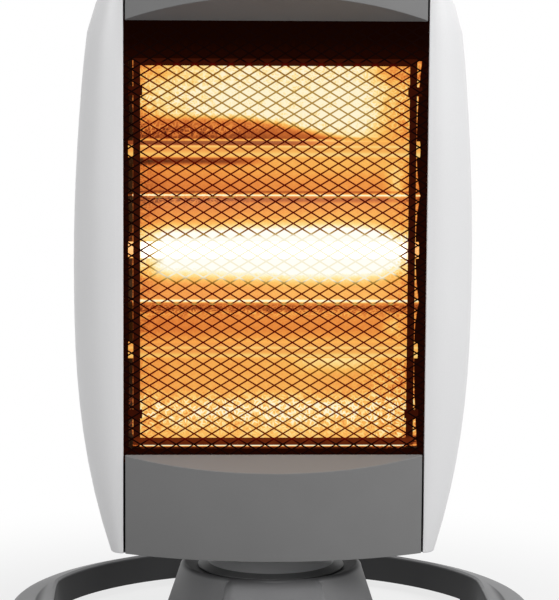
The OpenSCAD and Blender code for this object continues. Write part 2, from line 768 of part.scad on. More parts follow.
module inner_housing() {
    w = housing_w / 2;
    color("#171616") difference() {
        union() {
            translate([-win_x - flange_out, housing_y0, housing_z0 - housing_t - flange_out])
                cube([win_w + 2 * flange_out, housing_t, housing_in_h + 2 * (housing_t + flange_out)]);
            translate([-w - housing_t, housing_y0, housing_z0 - housing_t])
                cube([housing_w + 2 * housing_t, housing_back - housing_y0, housing_in_h + 2 * housing_t]);
        }
        translate([-w, housing_y0 - 1, housing_z0])
            cube([housing_w, housing_back - housing_t - housing_y0 + 1, housing_in_h]);
        for (i = [0 : roof_slots - 1])
            translate([-w + slot_pitch * (i + 0.25), trough_y - 0.65 * trough_d, housing_z1 - 1])
            cube([slot_pitch / 2, 0.9 * trough_d, housing_t + 2]);
        tube_places() rotate([0, 90, 0]) cylinder(d = tube_hole_d, h = body_w, center = true);
        for (z = boss_z) both_sides() translate([boss_x, housing_back - 5, z]) rotate([-90, 0, 0])
            cylinder(d = screw_d, h = 10);
    }
}

module housing_screws() {
    color("silver") for (z = boss_z) both_sides() translate([boss_x, housing_back - housing_t, z])
        rotate([90, 0, 0]) screw(screw_d, case_screw_l);
}

// Depth of the reflector at level z: parabolas that meet in creases
function trough(z, i) = let (half = z > tube_z[i] ? trough_top[i] - tube_z[i] : tube_z[i] - trough_low[i])
    trough_y - trough_d * pow((z - tube_z[i]) / half, 2);
crease_z = [for (s = [1, -1]) tube_z[1] + crease_lift + s * crease_h];
trough_top = [win_z0 + reflector_h1, crease_z[0], crease_z[1]];
trough_low = [crease_z[0], crease_z[1], win_z0 + reflector_h0];
trough_steps = 12;
side_gap = 0.25;

module reflector() {
    front = [for (i = [2, 1, 0], k = [(i == 2 ? 0 : 1) : trough_steps])
        let (z = trough_low[i] + (trough_top[i] - trough_low[i]) * k / trough_steps) [trough(z, i), z]];
    back = [for (p = reversed(front)) [p[0] + reflector_t, p[1]]];
    color("#e0a050") translate([-housing_w / 2 + side_gap, 0, 0]) rotate([90, 0, 90])
        linear_extrude(housing_w - 2 * side_gap) polygon(concat(front, back));
}

module vent_comb() {
    w = housing_w - 2 * side_gap;
    pitch = w / (comb_n + 1);
    edge = 3;
    color("#232222") translate([-w / 2, lip_y + reflector_t, housing_z1 - comb_h]) rotate([90, 0, 0])
        linear_extrude(reflector_t) difference() {
            square([w, comb_h - eps]);
            for (i = [1 : comb_n])
                translate([i * pitch - pitch / 4, edge]) square([pitch / 2, comb_h - 2 * edge]);
        }
}

bar_y1 = lip_y - run_gap;
bar_span = housing_w - 2 * bar_inset;
bar_x = bar_span / 2;
bar_z0 = win_z0 + bar_h0;
bar_z1 = win_z0 + bar_h1;
lug_z = [bar_z0 + lug_inset, bar_z1 - lug_inset];
lug_t = 1.5;
lug_w = 10;
lug_x1 = housing_w / 2 - side_gap;
lug_screw_x = lug_x1 - 2;

module bar_frame() {
    color("#131212") translate([0, bar_y1, 0]) rotate([90, 0, 0]) linear_extrude(bar_t) difference() {
        translate([-bar_x - bar_w / 2, bar_z0]) square([bar_span + bar_w, bar_z1 - bar_z0]);
        translate([-bar_x + bar_w / 2, bar_z0 + bar_w])
            square([bar_span - bar_w, bar_z1 - bar_z0 - 2 * bar_w]);
    }
}

module lug_places() { for (z = lug_z) both_sides() translate([0, bar_y1 - bar_t, z]) children(); }

module frame_lugs() {
    color("#131212") lug_places() difference() {
        translate([lug_x1 - lug_w, -lug_t, -lug_h / 2]) cube([lug_w, lug_t, lug_h]);
        translate([lug_screw_x, 1, 0]) rotate([90, 0, 0]) cylinder(d = 2, h = lug_t + 2);
    }
}

module lug_screws() {
    color("dimgray") lug_places() translate([lug_screw_x, -lug_t, 0]) rotate([90, 0, 0])
        screw(2, lug_t + 2);
}

/* Tubes */

tube_end = housing_w / 2 + housing_t + ceramic_grip;

module tube() {
    rotate([0, 90, 0]) difference() {
        cylinder(d = tube_d, h = 2 * tube_end, center = true);
        cylinder(d = tube_d - 2 * tube_wall, h = 2 * tube_end + 2, center = true);
    }
}

module tube_top() { color("#f3e6d0") translate([0, tube_y, tube_z[0]]) tube(); }
module tube_middle() { color("#fff6c8") translate([0, tube_y, tube_z[1]]) tube(); }
module tube_bottom() { color("#fff6c8") translate([0, tube_y, tube_z[2]]) tube(); }

module filaments() {
    disc_t = 1;
    span = 2 * tube_end - 12;
    color("orange") tube_places() rotate([0, 90, 0]) {
        cylinder(d = filament_d, h = 2 * tube_end - 1, center = true);
        for (i = [0 : filament_discs - 1])
            translate([0, 0, -span / 2 + span * i / (filament_discs - 1)])
                cylinder(d = tube_d - 2 * tube_wall - 0.2, h = disc_t, center = true);
    }
}

cap_x = housing_w / 2 + housing_t;
grip_fit = 0.2;

module ceramic_caps() {
    color("#efe9dc") tube_places() both_sides() translate([cap_x, 0, 0]) rotate([0, 90, 0]) difference() {
        union() {
            cylinder(d = ceramic_d, h = ceramic_l);
            cylinder(d = 4, h = ceramic_l + 5);
        }
        translate([0, 0, -1]) cylinder(d = tube_d + 2 * grip_fit, h = ceramic_grip + 1.2);
    }
}

module cap_brackets() {
    band_w = 5;
    band_t = 1.2;
    ring_r = ceramic_d / 2 + 0.1;
    foot_l = 9;
    color("silver") tube_places() both_sides() translate([cap_x, 0, 0]) rotate([0, 90, 0]) {
        translate([0, 0, 4]) difference() {
            cylinder(r = ring_r + band_t, h = band_w);
            translate([0, 0, -1]) cylinder(r = ring_r, h = band_w + 2);
        }
        for (s = [-1, 1]) scale([s, 1, 1]) {
            translate([ring_r + band_t / 2, -4, 0]) cube([band_t, 8, 4 + band_w]);
            difference() {
                translate([ring_r + band_t / 2, -4, 0]) cube([foot_l, 8, band_t]);
                translate([ring_r + foot_l / 2 + 1, 0, -1]) cylinder(d = 3, h = band_t + 2);
            }
        }
    }
}

module thermal_cutout() {
    color("#8a8d90") translate([boss_x / 2, housing_back, win_z0 + 0.64 * win_h]) rotate([-90, 0, 0]) {
        cylinder(d = 17, h = 7);
        translate([0, 0, 7 - eps]) cylinder(d = 11, h = 4);
        for (s = [-1, 1]) translate([s * 6.5 - 0.4, -3, 6]) cube([0.8, 6, 10]);
    }
}

/* Handle and controls */

module carry_handle() {
    x1 = handle_l / 2;
    y0 = socket_y;
    y1 = grip_y + grip_t;
    out_r = 16;
    in_r = 8;
    outer = concat([[x1, y0]], arc([x1 - out_r, y1 - out_r], out_r, 0, 90, 8));
    inner = concat([[x1 - grip_t, y0]], arc([x1 - grip_t - in_r, grip_y - in_r], in_r, 0, 90, 6));
    color("#2c2d2f") difference() {
        translate([0, 0, handle_z - handle_h / 2]) linear_extrude(handle_h)
            polygon(concat(outer, mirrored(outer), reversed(mirrored(inner)), reversed(inner)));
        both_sides() translate([leg_x, y0 - 1, handle_z]) rotate([-90, 0, 0])
            cylinder(d = screw_d, h = case_hole_l);
    }
}

module handle_screws() {
    color("silver") both_sides() translate([leg_x, socket_y - wall, handle_z]) rotate([90, 0, 0])
        screw(screw_d, case_screw_l);
}

cap_ceiling = body_top - wall;
knob_gap = 0.6;
shaft_l = 14;
selector_h = 20;

module power_knob() {
    r = knob_d / 2;
    skirt = 5;
    grip_w = 7;
    color("#b9bcbf") translate([-control_x, -control_y, body_top + knob_gap]) {
        rotate_extrude() polygon([[0, 0], [r - 0.6, 0], [r, 0.8], [r - 0.8, skirt - 1], [r - 2, skirt],
                                  [r - 4.5, skirt + 0.6], [r - 6, knob_h - 3], [0, knob_h - 3]]);
        intersection() {
            translate([-grip_w / 2, -r + 1.5, 1]) cube([grip_w, 2 * r - 3, knob_h - 1]);
            cylinder(r1 = r - 0.5, r2 = r - 4, h = knob_h);
        }
        translate([0, 0, -wall - knob_gap - shaft_l])
            cylinder(d = shaft_d, h = shaft_l + wall + knob_gap + eps);
    }
}

switch_neck_h = 3;
switch_neck_w = 3.5;
switch_seat = 0.2;

module selector_switch() {
    color("#303134") translate([-control_x, -control_y, cap_ceiling]) difference() {
        union() {
            translate([-switch_w / 2, -switch_w / 2, -selector_h])
                cube([switch_w, switch_w, selector_h - switch_neck_h]);
            translate([0, 0, -selector_h])
                cylinder(d = shaft_d + 2 * switch_neck_w, h = selector_h - switch_seat);
        }
        translate([0, 0, -shaft_l - 1]) cylinder(d = shaft_d + 2 * shaft_fit, h = shaft_l + 2);
    }
}

button_up = 5;
button_body = button_up + wall + button_travel + 2;
stem_d = 8;
stem_l = 9;
button_switch_w = button_d + 8;

module oscillation_button() {
    r = button_d / 2;
    z1 = body_top + button_up;
    color("#b9bcbf") translate([control_x, -control_y, 0]) {
        rotate_extrude() polygon([[0, z1 - button_body], [r, z1 - button_body], [r, z1 - 1.6],
                                  [r - 0.5, z1 - 0.7], [r - 1.4, z1 - 0.1], [r - 2.4, z1], [0, z1 - 0.6]]);
        translate([0, 0, z1 - button_body - stem_l]) cylinder(d = stem_d, h = stem_l + 1);
    }
}

module oscillation_switch() {
    w = button_switch_w;
    z1 = cap_ceiling - switch_neck_h;
    seat = body_top + button_up - button_body - button_travel - 0.5;
    low = seat - stem_l - 1.5;
    color("#303134") translate([control_x, -control_y, 0]) difference() {
        union() {
            translate([-w / 2, -w / 2, low - 2]) cube([w, w, z1 - low + 2]);
            translate([0, 0, low]) cylinder(d = button_d + 2 * button_fit + switch_neck_w,
                                            h = cap_ceiling - switch_seat - low);
        }
        translate([0, 0, seat]) cylinder(d = button_d + 2 * button_fit, h = 20);
        translate([0, 0, low]) cylinder(d = stem_d + 2 * shaft_fit, h = 20);
    }
}

/* Base */

ring_r = ring_d / 2;
ring_in_r = ring_r - ring_w;
rim_z = hub_h + hub_rim_h;
apron_drop = 5;
fixing_r = (ring_r + ring_in_r) / 2 + 1;
channel_z = foot_h + plate_t;
bush_d = 10;
bush_l = 9;
bush_flange_d = bush_d + 2;
bush_z = channel_z + bush_flange_d / 2 + run_gap;
plate_fit = 0.4;
foot_in_r = 2;
base_screw_l = 11;

// Section of the ring, moved in by d
function ring_section(d) =
    let (r0 = ring_in_r + d, r1 = ring_r - d, top = ring_h - d)
    concat([[r0, foot_h - d], [r0, top - 3], [r0 + 0.9, top - 0.9], [r0 + 3, top]],
           arc([ring_r - edge_r, edge_z], edge_r - d, 70, 0, 6),
           [[r1, foot_h + 3], [r1 - foot_in_r, foot_h], [r1 - foot_in_r, foot_h - d]]);

// Radius of the hub's cone at level z
function hub_r(z) = hub_foot_d / 2 - (hub_foot_d - hub_top_d) / 2 * z / rim_z;

hub_edge_r = 4;

module hub_solid() {
    z1 = rim_z - hub_edge_r;
    rotate_extrude($fn = 96) polygon(concat([[0, foot_h], [hub_r(foot_h), foot_h]],
        arc([hub_r(z1) - hub_edge_r, z1], hub_edge_r, 0, 90, 6), [[0, rim_z]]));
}

// The dish in the hub's top, round the collar
module hub_dish() {
    r = collar_d / 2 + 1.2;
    rise = (hub_r(rim_z - hub_edge_r) - hub_edge_r - r) / hub_rim_h;
    rotate_extrude($fn = 96) polygon([[0, hub_h], [r, hub_h], [r + rise * (hub_rim_h + 1), rim_z + 1],
                                      [0, rim_z + 1]]);
}

module hub_hollow() {
    top = hub_h - hub_plate_t;
    rotate_extrude($fn = 96)
        polygon([[0, 0], [hub_r(0) - base_wall, 0], [hub_r(top) - base_wall, top], [0, top]]);
}

// Section of an arm of height h, moved in by d
module arm_section(h, d) {
    r = arm_r - d;
    x = arm_w / 2 + arm_draft * (1 - h / hub_h) - d;
    half = concat([[x + arm_draft * (h - foot_h) / hub_h, foot_h - d]], arc([x - r, h - r], r, 0, 90, 5));
    polygon(concat(half, mirrored(half)));
}

// An arm to the front and one to the rear: level at h as far as y1, then down to the ring; moved in by d
module arms(y1, h, d) {
    y0 = arm_w * 0.65;
    y2 = ring_in_r + 6;
    z2 = ring_h - 2 - d;
    for (a = [0, 180]) rotate([0, 0, a])
        hull() for (p = [[y0, h], [y1, h], [y2, z2]])
            translate([0, p[0], 0]) rotate([90, 0, 0]) linear_extrude(eps) arm_section(p[1], d);
}

// One window of the base: from the hub to the ring, behind a large front corner
module window_plan() {
    r_out = ring_in_r + 0.5;
    c_y = base_win_front_r - base_win_front;
    c = [sqrt(pow(r_out - base_win_front_r, 2) - pow(c_y, 2)), c_y];
    offset(r = base_win_r, $fn = 40) offset(delta = -base_win_r) difference() {
        intersection() {
            circle(r = r_out, $fn = 120);
            translate([arm_w / 2, -base_win_front]) square([r_out, 2 * r_out]);
        }
        circle(r = hub_r(rim_z) - 2, $fn = 60);
        difference() {
            polygon([c, c * 2, [2 * r_out, -2 * r_out], [c[0], -2 * r_out]]);
            translate(c) circle(r = base_win_front_r, $fn = 96);
        }
    }
}

// A disc of radius r without the windows, which are widened by d
module web_plan(r, d) {
    difference() {
        circle(r = r, $fn = 120);
        offset(delta = d) both_sides() window_plan();
    }
}

// Plan of the hollow under the base at its rim
module hollow_plan() {
    r = ring_r - base_wall - foot_in_r;
    w = arm_w / 2 + arm_draft * (1 - channel_z / hub_h) - base_wall;
    web_plan(r, base_wall);
    circle(r = hub_r(channel_z) - base_wall, $fn = 96);
    intersection() {
        circle(r = r, $fn = 120);
        translate([-w, -ring_r]) square([2 * w, ring_d]);
    }
}

module fixing_places() { ring_copies(foot_n, fixing_r) children(); }
module foot_places() { ring_copies(foot_n, fixing_r, 180 / foot_n) children(); }

module base_moulding() {
    apron_z = ring_h - apron_drop;
    post_h = (ring_h + edge_z + edge_r) / 2 - base_wall * 0.75 - channel_z;
    color("#6e7072") difference() {
        union() {
            difference() {
                union() {
                    rotate_extrude($fn = 120) polygon(ring_section(0));
                    hub_solid();
                    arms(hub_r(rim_z) - hub_edge_r, rim_z - 0.4, 0);
                    translate([0, 0, foot_h]) linear_extrude(apron_z - foot_h) web_plan(ring_in_r + 1, 0);
                }
                rotate_extrude($fn = 120) polygon(ring_section(base_wall));
                hub_dish();
                hub_hollow();
                arms(hub_r(0) - 2 * base_wall, hub_h - hub_plate_t - 0.5, base_wall);
                linear_extrude(apron_z - base_wall) web_plan(ring_in_r + base_wall + 1, base_wall);
            }
            fixing_places() translate([0, 0, channel_z]) cylinder(d = 9, h = post_h);
            translate([0, 0, hub_h - eps]) stop_block(0, stop_h);
        }
        translate([0, 0, hub_h - hub_plate_t - 1]) {
            cylinder(d = pivot_d + 2 * shaft_fit, h = hub_plate_t + 2);
            pivot_screw_places() cylinder(d = pivot_screw_d, h = hub_plate_t + 2);
        }
        fixing_places() cylinder(d = screw_d, h = foot_h + base_screw_l + 1);
        translate([0, ring_r - 12, bush_z]) rotate([-90, 0, 0]) cylinder(d = bush_d + 0.2, h = 20);
    }
}

module base_plate() {
    color("gray") difference() {
        translate([0, 0, foot_h]) linear_extrude(plate_t) offset(delta = -plate_fit) hollow_plan();
        translate([0, 0, foot_h - 1]) fixing_places() cylinder(d = screw_d + 0.4, h = plate_t + 2);
        translate([0, -plunger_y, foot_h - 1]) cylinder(d = plunger_d + 1, h = plate_t + 2);
    }
}

module ballast_ring() {
    color("#404040") difference() {
        translate([0, 0, channel_z]) linear_extrude(ballast_h) difference() {
            circle(r = ring_r - base_wall - 3, $fn = 120);
            circle(r = ring_in_r + base_wall + 1.5, $fn = 120);
        }
        translate([0, 0, channel_z - 1]) fixing_places() cylinder(d = 10, h = ballast_h + 2);
        translate([-bush_d, 0, channel_z - 1]) cube([2 * bush_d, ring_d, ballast_h + 2]);
    }
}

module rubber_feet() {
    color("#222222") foot_places() cylinder(d1 = foot_d - 1, d2 = foot_d, h = foot_h);
}

module base_screws() {
    color("silver") translate([0, 0, foot_h]) mirror([0, 0, 1]) fixing_places()
        screw(screw_d, base_screw_l);
}

module inlet_bush() {
    color("#222222") translate([0, 0, bush_z]) rotate([-90, 0, 0]) difference() {
        union() {
            translate([0, 0, ring_r - bush_l]) cylinder(d = bush_d, h = bush_l - 0.4);
            translate([0, 0, ring_r - bush_l]) cylinder(d = bush_flange_d, h = bush_l - base_wall - 2.5);
        }
        translate([0, 0, ring_r - 12]) cylinder(d = 7, h = 14);
    }
}

plunger_seat = channel_z + 4;
plunger_foot = 1.5;
plunger_head_d = plunger_d + 4;
plunger_head_t = 3;
plunger_head_z = plunger_seat + plunger_travel;

module tip_switch() {
    size = [26, 22, plunger_head_z - channel_z + plunger_head_t + 8];
    color("#303134") translate([0, -plunger_y, channel_z]) difference() {
        translate([-size[0] / 2, -size[1] / 2, 0]) cube(size);
        translate([0, 0, -1]) cylinder(d = plunger_d + 2 * shaft_fit, h = plunger_seat - channel_z + 2);
        translate([0, 0, plunger_seat - channel_z])
            cylinder(d = plunger_head_d + 2 * run_gap, h = plunger_travel + plunger_head_t + run_gap);
    }
}

module tip_plunger() {
    color("#b03028") translate([0, -plunger_y, 0]) {
        cylinder(d1 = plunger_d - 3, d2 = plunger_d, h = plunger_foot);
        translate([0, 0, plunger_foot - eps])
            cylinder(d = plunger_d, h = plunger_head_z - plunger_foot + 2 * eps);
        translate([0, 0, plunger_head_z]) cylinder(d = plunger_head_d, h = plunger_head_t);
    }
}

/* Draw */

base_moulding();
base_plate();
ballast_ring();
rubber_feet();
base_screws();
inlet_bush();
fixed_gear();
pivot_screws();
pivot_tube();
thrust_washer();
retaining_nut();
tip_switch();
tip_plunger();
turntable_collar();
bottom_tray();
tray_screws();
rear_shell();
side_panel_left();
side_panel_right();
lower_panel();
upper_panel();
top_cap();
carry_handle();
handle_screws();
mesh_grille();
bar_frame();
frame_lugs();
lug_screws();
inner_housing();
housing_screws();
reflector();
vent_comb();
tube_top();
tube_middle();
tube_bottom();
filaments();
ceramic_caps();
cap_brackets();
thermal_cutout();
terminal_block();
selector_switch();
oscillation_switch();
oscillation_motor();
motor_screws();
drive_pinion();
power_knob();
oscillation_button();
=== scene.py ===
"""Oscillating halogen heater: finishes, fine pieces, studio and camera.

Metres, +Z up, the window faces -Y, the origin is on the floor on the turning axis.
"""
import json
import math

import bmesh
import bpy
from mathutils import Matrix, Vector

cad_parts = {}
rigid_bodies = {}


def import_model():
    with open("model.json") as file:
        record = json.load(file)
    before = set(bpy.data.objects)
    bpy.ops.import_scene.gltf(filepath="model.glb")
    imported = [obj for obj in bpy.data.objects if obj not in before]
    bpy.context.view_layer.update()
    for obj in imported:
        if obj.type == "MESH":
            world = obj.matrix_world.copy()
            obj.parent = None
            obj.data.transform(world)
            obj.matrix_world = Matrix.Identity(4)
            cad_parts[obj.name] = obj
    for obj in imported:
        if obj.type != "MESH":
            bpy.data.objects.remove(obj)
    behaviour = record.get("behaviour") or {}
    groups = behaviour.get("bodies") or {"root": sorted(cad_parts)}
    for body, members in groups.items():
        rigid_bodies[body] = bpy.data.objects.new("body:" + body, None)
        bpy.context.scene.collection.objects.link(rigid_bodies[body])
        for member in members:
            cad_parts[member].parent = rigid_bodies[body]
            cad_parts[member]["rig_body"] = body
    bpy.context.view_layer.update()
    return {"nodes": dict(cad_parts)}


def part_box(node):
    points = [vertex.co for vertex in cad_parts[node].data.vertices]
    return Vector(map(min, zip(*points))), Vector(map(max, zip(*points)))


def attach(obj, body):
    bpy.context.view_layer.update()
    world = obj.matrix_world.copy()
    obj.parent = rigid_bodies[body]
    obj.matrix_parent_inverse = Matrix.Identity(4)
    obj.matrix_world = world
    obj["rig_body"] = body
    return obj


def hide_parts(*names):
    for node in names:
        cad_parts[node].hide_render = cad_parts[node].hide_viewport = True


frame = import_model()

MM = 0.001
SAME_POINT = 0.004 * MM
SAME_PLANE = math.radians(0.05)
BODY_OF = {node: piece["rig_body"] for node, piece in frame["nodes"].items()}


# ---------------------------------------------------------------- node trees

class Wire:
    """A socket of a node tree: arithmetic on it adds Math nodes."""

    def __init__(self, sheet, socket):
        self.sheet, self.socket = sheet, socket

    def maths(self, operation, *others):
        return self.sheet.node("Math", {"operation": operation}, [self, *others])

    def __add__(self, other):
        return self.maths("ADD", other)

    def __sub__(self, other):
        return self.maths("SUBTRACT", other)

    def __mul__(self, other):
        return self.maths("MULTIPLY", other)

    def __truediv__(self, other):
        return self.maths("DIVIDE", other)

    def __rsub__(self, other):
        return self.sheet.node("Math", {"operation": "SUBTRACT"}, [other, self])

    __radd__ = __add__

    def above(self, low, high):
        """0 below low, 1 above high, smooth between."""
        return self.sheet.node("MapRange", {"interpolation_type": "SMOOTHSTEP"},
                               {"Value": self, "From Min": low, "From Max": high})

    def near(self, middle, reach):
        """1 at middle, 0 at reach from it, smooth between."""
        return 1 - (self - middle).maths("ABSOLUTE").above(0.0, reach)


class Tree:
    """A node tree under construction."""
    prefix = "ShaderNode"
    shared = ("Math", "MapRange", "CombineXYZ", "SeparateXYZ")

    def node(self, kind, settings=None, values=None, output=0):
        """One node: its settings first, then the values or links of its sockets.
        Gives the wire of one of its outputs, if it has any."""
        prefix = "ShaderNode" if kind in self.shared else self.prefix
        made = self.tree.nodes.new(prefix + kind)
        for key, value in (settings or {}).items():
            if key == "stops":
                set_stops(made.color_ramp, value)
            else:
                setattr(made, key, value)
        pairs = values.items() if isinstance(values, dict) else enumerate(values or [])
        for key, value in pairs:
            socket = made.inputs[key]
            if isinstance(value, Wire):
                self.tree.links.new(value.socket, socket)
            else:
                socket.default_value = value
        return Wire(self, made.outputs[output]) if made.outputs else made

    def axis(self, name, of):
        return self.node("SeparateXYZ", None, [of], output="XYZ".index(name))

    def ray(self, kind):
        return self.node("LightPath", output=f"Is {kind} Ray")


def set_stops(ramp, stops):
    while len(ramp.elements) > 1:
        ramp.elements.remove(ramp.elements[-1])
    ramp.elements[0].position, ramp.elements[0].color = stops[0][0], (*stops[0][1], 1)
    for place, colour in stops[1:]:
        ramp.elements.new(place).color = (*colour, 1)


class Finish(Tree):
    """The node tree of one material."""

    def __init__(self, name):
        self.material = bpy.data.materials.new(name)
        self.material.use_nodes = True
        self.tree = self.material.node_tree
        self.tree.nodes.clear()
        self.spot = self.node("TexCoord", output=3)
        self.x, self.y, self.z = (self.axis(name, self.spot) for name in "XYZ")

    def noise(self, size, detail=2.0, stretch=(1, 1, 1)):
        """Noise about 0.5, with features of about this size."""
        place = self.node("Mapping", None, {"Vector": self.spot, "Scale": stretch})
        return self.node("TexNoise", None,
                         {"Vector": place, "Scale": 1 / size, "Detail": detail})

    def cells(self, size, feature):
        return self.node("TexVoronoi", {"feature": feature},
                         {"Vector": self.spot, "Scale": 1 / size})

    def from_axis(self):
        """The distance from the turning axis."""
        return (self.x * self.x + self.y * self.y).maths("SQRT")

    def mix(self, amount, first, second):
        colours = [c if isinstance(c, Wire) else (*c, 1) for c in (first, second)]
        return self.node("Mix", {"data_type": "RGBA"}, {0: amount, 6: colours[0], 7: colours[1]},
                         output=2)

    def bump(self, height, depth, strength):
        return self.node("Bump", None,
                         {"Height": height, "Distance": depth, "Strength": strength})

    def surface(self, colour, roughness, **more):
        """The Principled shader with these sockets, and the finished material."""
        values = {"Base Color": colour if isinstance(colour, Wire) else (*colour, 1),
                  "Roughness": roughness}
        for name, value in more.items():
            words = name.replace("_", " ").title().replace("Ior", "IOR")
            values[words] = (*value, 1) if isinstance(value, tuple) and len(value) == 3 else value
        shader = self.node("BsdfPrincipled", None, values)
        self.node("OutputMaterial", None, {"Surface": shader})
        return self.material


class Recipe(Tree):
    """A Geometry Nodes tree with named inputs."""
    prefix = "GeometryNode"
    kinds = {float: "NodeSocketFloat", int: "NodeSocketInt",
             bpy.types.Material: "NodeSocketMaterial"}

    def __init__(self, name, **inputs):
        self.tree = bpy.data.node_groups.new(name, "GeometryNodeTree")
        self.values = inputs
        self.keys = {}
        for key, value in inputs.items():
            kind = next(kind for of, kind in self.kinds.items() if isinstance(value, of))
            socket = self.tree.interface.new_socket(key, in_out="INPUT", socket_type=kind)
            self.keys[key] = socket.identifier
        self.tree.interface.new_socket("Geometry", in_out="OUTPUT",
                                       socket_type="NodeSocketGeometry")
        entry = self.tree.nodes.new("NodeGroupInput")
        self.inputs = {key: Wire(self, entry.outputs[key]) for key in inputs}

    def vector(self, x=0.0, y=0.0, z=0.0):
        return self.node("CombineXYZ", None, [x, y, z])

    def made(self, name, result):
        """Ends the tree in Realize Instances and Set Material, and runs it on a new piece."""
        real = self.node("RealizeInstances", None, [result])
        coated = self.node("SetMaterial", None,
                           {"Geometry": real, "Material": self.inputs["finish"]})
        leave = self.tree.nodes.new("NodeGroupOutput")
        self.tree.links.new(coated.socket, leave.inputs[0])
        piece = new_piece(name, bpy.data.meshes.new(name))
        step = piece.modifiers.new("recipe", "NODES")
        step.node_group = self.tree
        for key, value in self.values.items():
            step[self.keys[key]] = value
        return baked(piece)


# ---------------------------------------------------------------- pieces

def new_piece(name, mesh):
    piece = bpy.data.objects.new(name, mesh)
    bpy.context.scene.collection.objects.link(piece)
    return piece


def baked(piece):
    """The piece with its modifiers made part of its mesh."""
    bpy.context.view_layer.update()
    graph = bpy.context.evaluated_depsgraph_get()
    mesh = bpy.data.meshes.new_from_object(piece.evaluated_get(graph), depsgraph=graph)
    piece.modifiers.clear()
    piece.data = mesh
    return piece


def smoothed(piece, sharp=32):
    """Smooth curves, with large faces kept flat beside small ones."""
    piece.data.polygons.foreach_set("use_smooth", [True] * len(piece.data.polygons))
    piece.data.set_sharp_from_angle(angle=math.radians(sharp))
    even = piece.modifiers.new("even", "WEIGHTED_NORMAL")
    even.keep_sharp = True
    return baked(piece)


def rounded(piece, width, segments=2, limit=32):
    """The piece with its edges rounded."""
    bevel = piece.modifiers.new("edges", "BEVEL")
    bevel.width = width
    bevel.segments = segments
    bevel.limit_method = "ANGLE"
    bevel.angle_limit = math.radians(limit)
    return baked(piece)


def painted(piece, material):
    piece.data.materials.clear()
    piece.data.materials.append(material)
    return piece


def settled(piece, node, material):
    """The piece stands for its CAD node, in that material."""
    painted(piece, material)
    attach(piece, BODY_OF[node])
    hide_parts(node)


def copied(node):
    """A merged copy of a CAD node's mesh, its coplanar triangles joined."""
    mesh = frame["nodes"][node].data.copy()
    for name in ("custom_normal", "sharp_edge", "sharp_face"):
        if name in mesh.attributes:
            mesh.attributes.remove(mesh.attributes[name])
    form = bmesh.new()
    form.from_mesh(mesh)
    bmesh.ops.remove_doubles(form, verts=form.verts, dist=SAME_POINT)
    bmesh.ops.dissolve_limit(form, angle_limit=SAME_PLANE, verts=form.verts, edges=form.edges)
    form.to_mesh(mesh)
    form.free()
    return new_piece(node + "_finished", mesh)


def dressed(node, material, width, segments=2, limit=32):
    """A CAD node with rounded edges and smooth curves."""
    piece = copied(node)
    if width:
        rounded(piece, width, segments, limit)
    settled(smoothed(piece, limit), node, material)


def kept(material, *nodes):
    """CAD nodes that show as they are, in that material."""
    for node in nodes:
        painted(frame["nodes"][node], material)


def tone(red, green, blue):
    """A display colour from 0 to 255 as the shader wants it."""
    def linear(value):
        value /= 255
        return value / 12.92 if value <= 0.04045 else ((value + 0.055) / 1.055) ** 2.4
    return (linear(red), linear(green), linear(blue))


# ---------------------------------------------------------------- levels from the frame

def middle(node):
    low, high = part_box(node)
    return (low + high) / 2


# sizes that the boxes of the nodes don't give
MESH_RIM = 2 * MM          # the grille's rim
SLIP = 0.35 * MM           # between the rim's inner edge and the window
SHEET = 0.8 * MM           # the reflector's thickness
RING_TOP = 27.4 * MM
RING_HOLE = 171.3 * MM     # the radius of the base ring's hole at its rounded edge
ARMS_END = 155 * MM        # the radius where the arms run into the ring
HUB_DISH = 63.5 * MM       # the radius of the dish in the hub's top
UNDER_DISH = 50 * MM       # a level just under that dish's floor
COLLAR_CONE = 46.5 * MM    # the radius where the collar's cone meets its rim

grille_low, grille_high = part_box("mesh_grille")
window_x = grille_high.x - MESH_RIM - SLIP
window_low = grille_low.z + MESH_RIM + SLIP
window_high = grille_high.z - MESH_RIM - SLIP
tube_levels = [middle(name).z for name in ("tube_top", "tube_middle", "tube_bottom")]
tube_y = middle("tube_middle").y
sheet_low, sheet_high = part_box("reflector")
knob_middle = middle("power_knob")
knob_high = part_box("power_knob")[1]
crease_levels = sorted({round(v.co.z, 5) for v in frame["nodes"]["reflector"].data.vertices
                        if v.co.y < sheet_low.y + 0.02 * MM}, reverse=True)


# ---------------------------------------------------------------- finishes

def silver_paint():
    """Satin silver paint with fine flake and a cloudy gloss."""
    finish = Finish("silver_paint")
    flake = finish.noise(0.5 * MM, detail=3.0)
    cloud = finish.noise(60 * MM)
    colour = finish.mix(flake, tone(206, 206, 207), tone(218, 218, 219))
    colour = finish.mix(cloud * 0.25, colour, tone(223, 223, 224))
    return finish.surface(colour, 0.36 + cloud * 0.12, metallic=0.15, coat_weight=0.15,
                          coat_roughness=0.3, normal=finish.bump(flake, 0.01 * MM, 0.4))


def moulded(name, colour, grain=0.7 * MM, rough=0.48, lift=0.16, marks=None):
    """Moulded plastic: a fine spark-eroded grain, a cloudy gloss and slight shade changes.
    marks is the function of a printed pattern, and its colour."""
    finish = Finish(name)
    pits = finish.noise(grain, detail=4.0)
    cloud = finish.noise(35 * MM, detail=3.0)
    paler = tuple(c * (1 + lift) + 0.004 for c in colour)
    shade = finish.mix(cloud, colour, paler)
    shade = finish.mix(pits.above(0.55, 0.75) * 0.5, shade, paler)
    if marks:
        shade = finish.mix(marks[0](finish), shade, marks[1])
    return finish.surface(shade, rough - 0.06 + cloud * 0.12,
                          normal=finish.bump(pits, 0.04 * MM, 0.5))


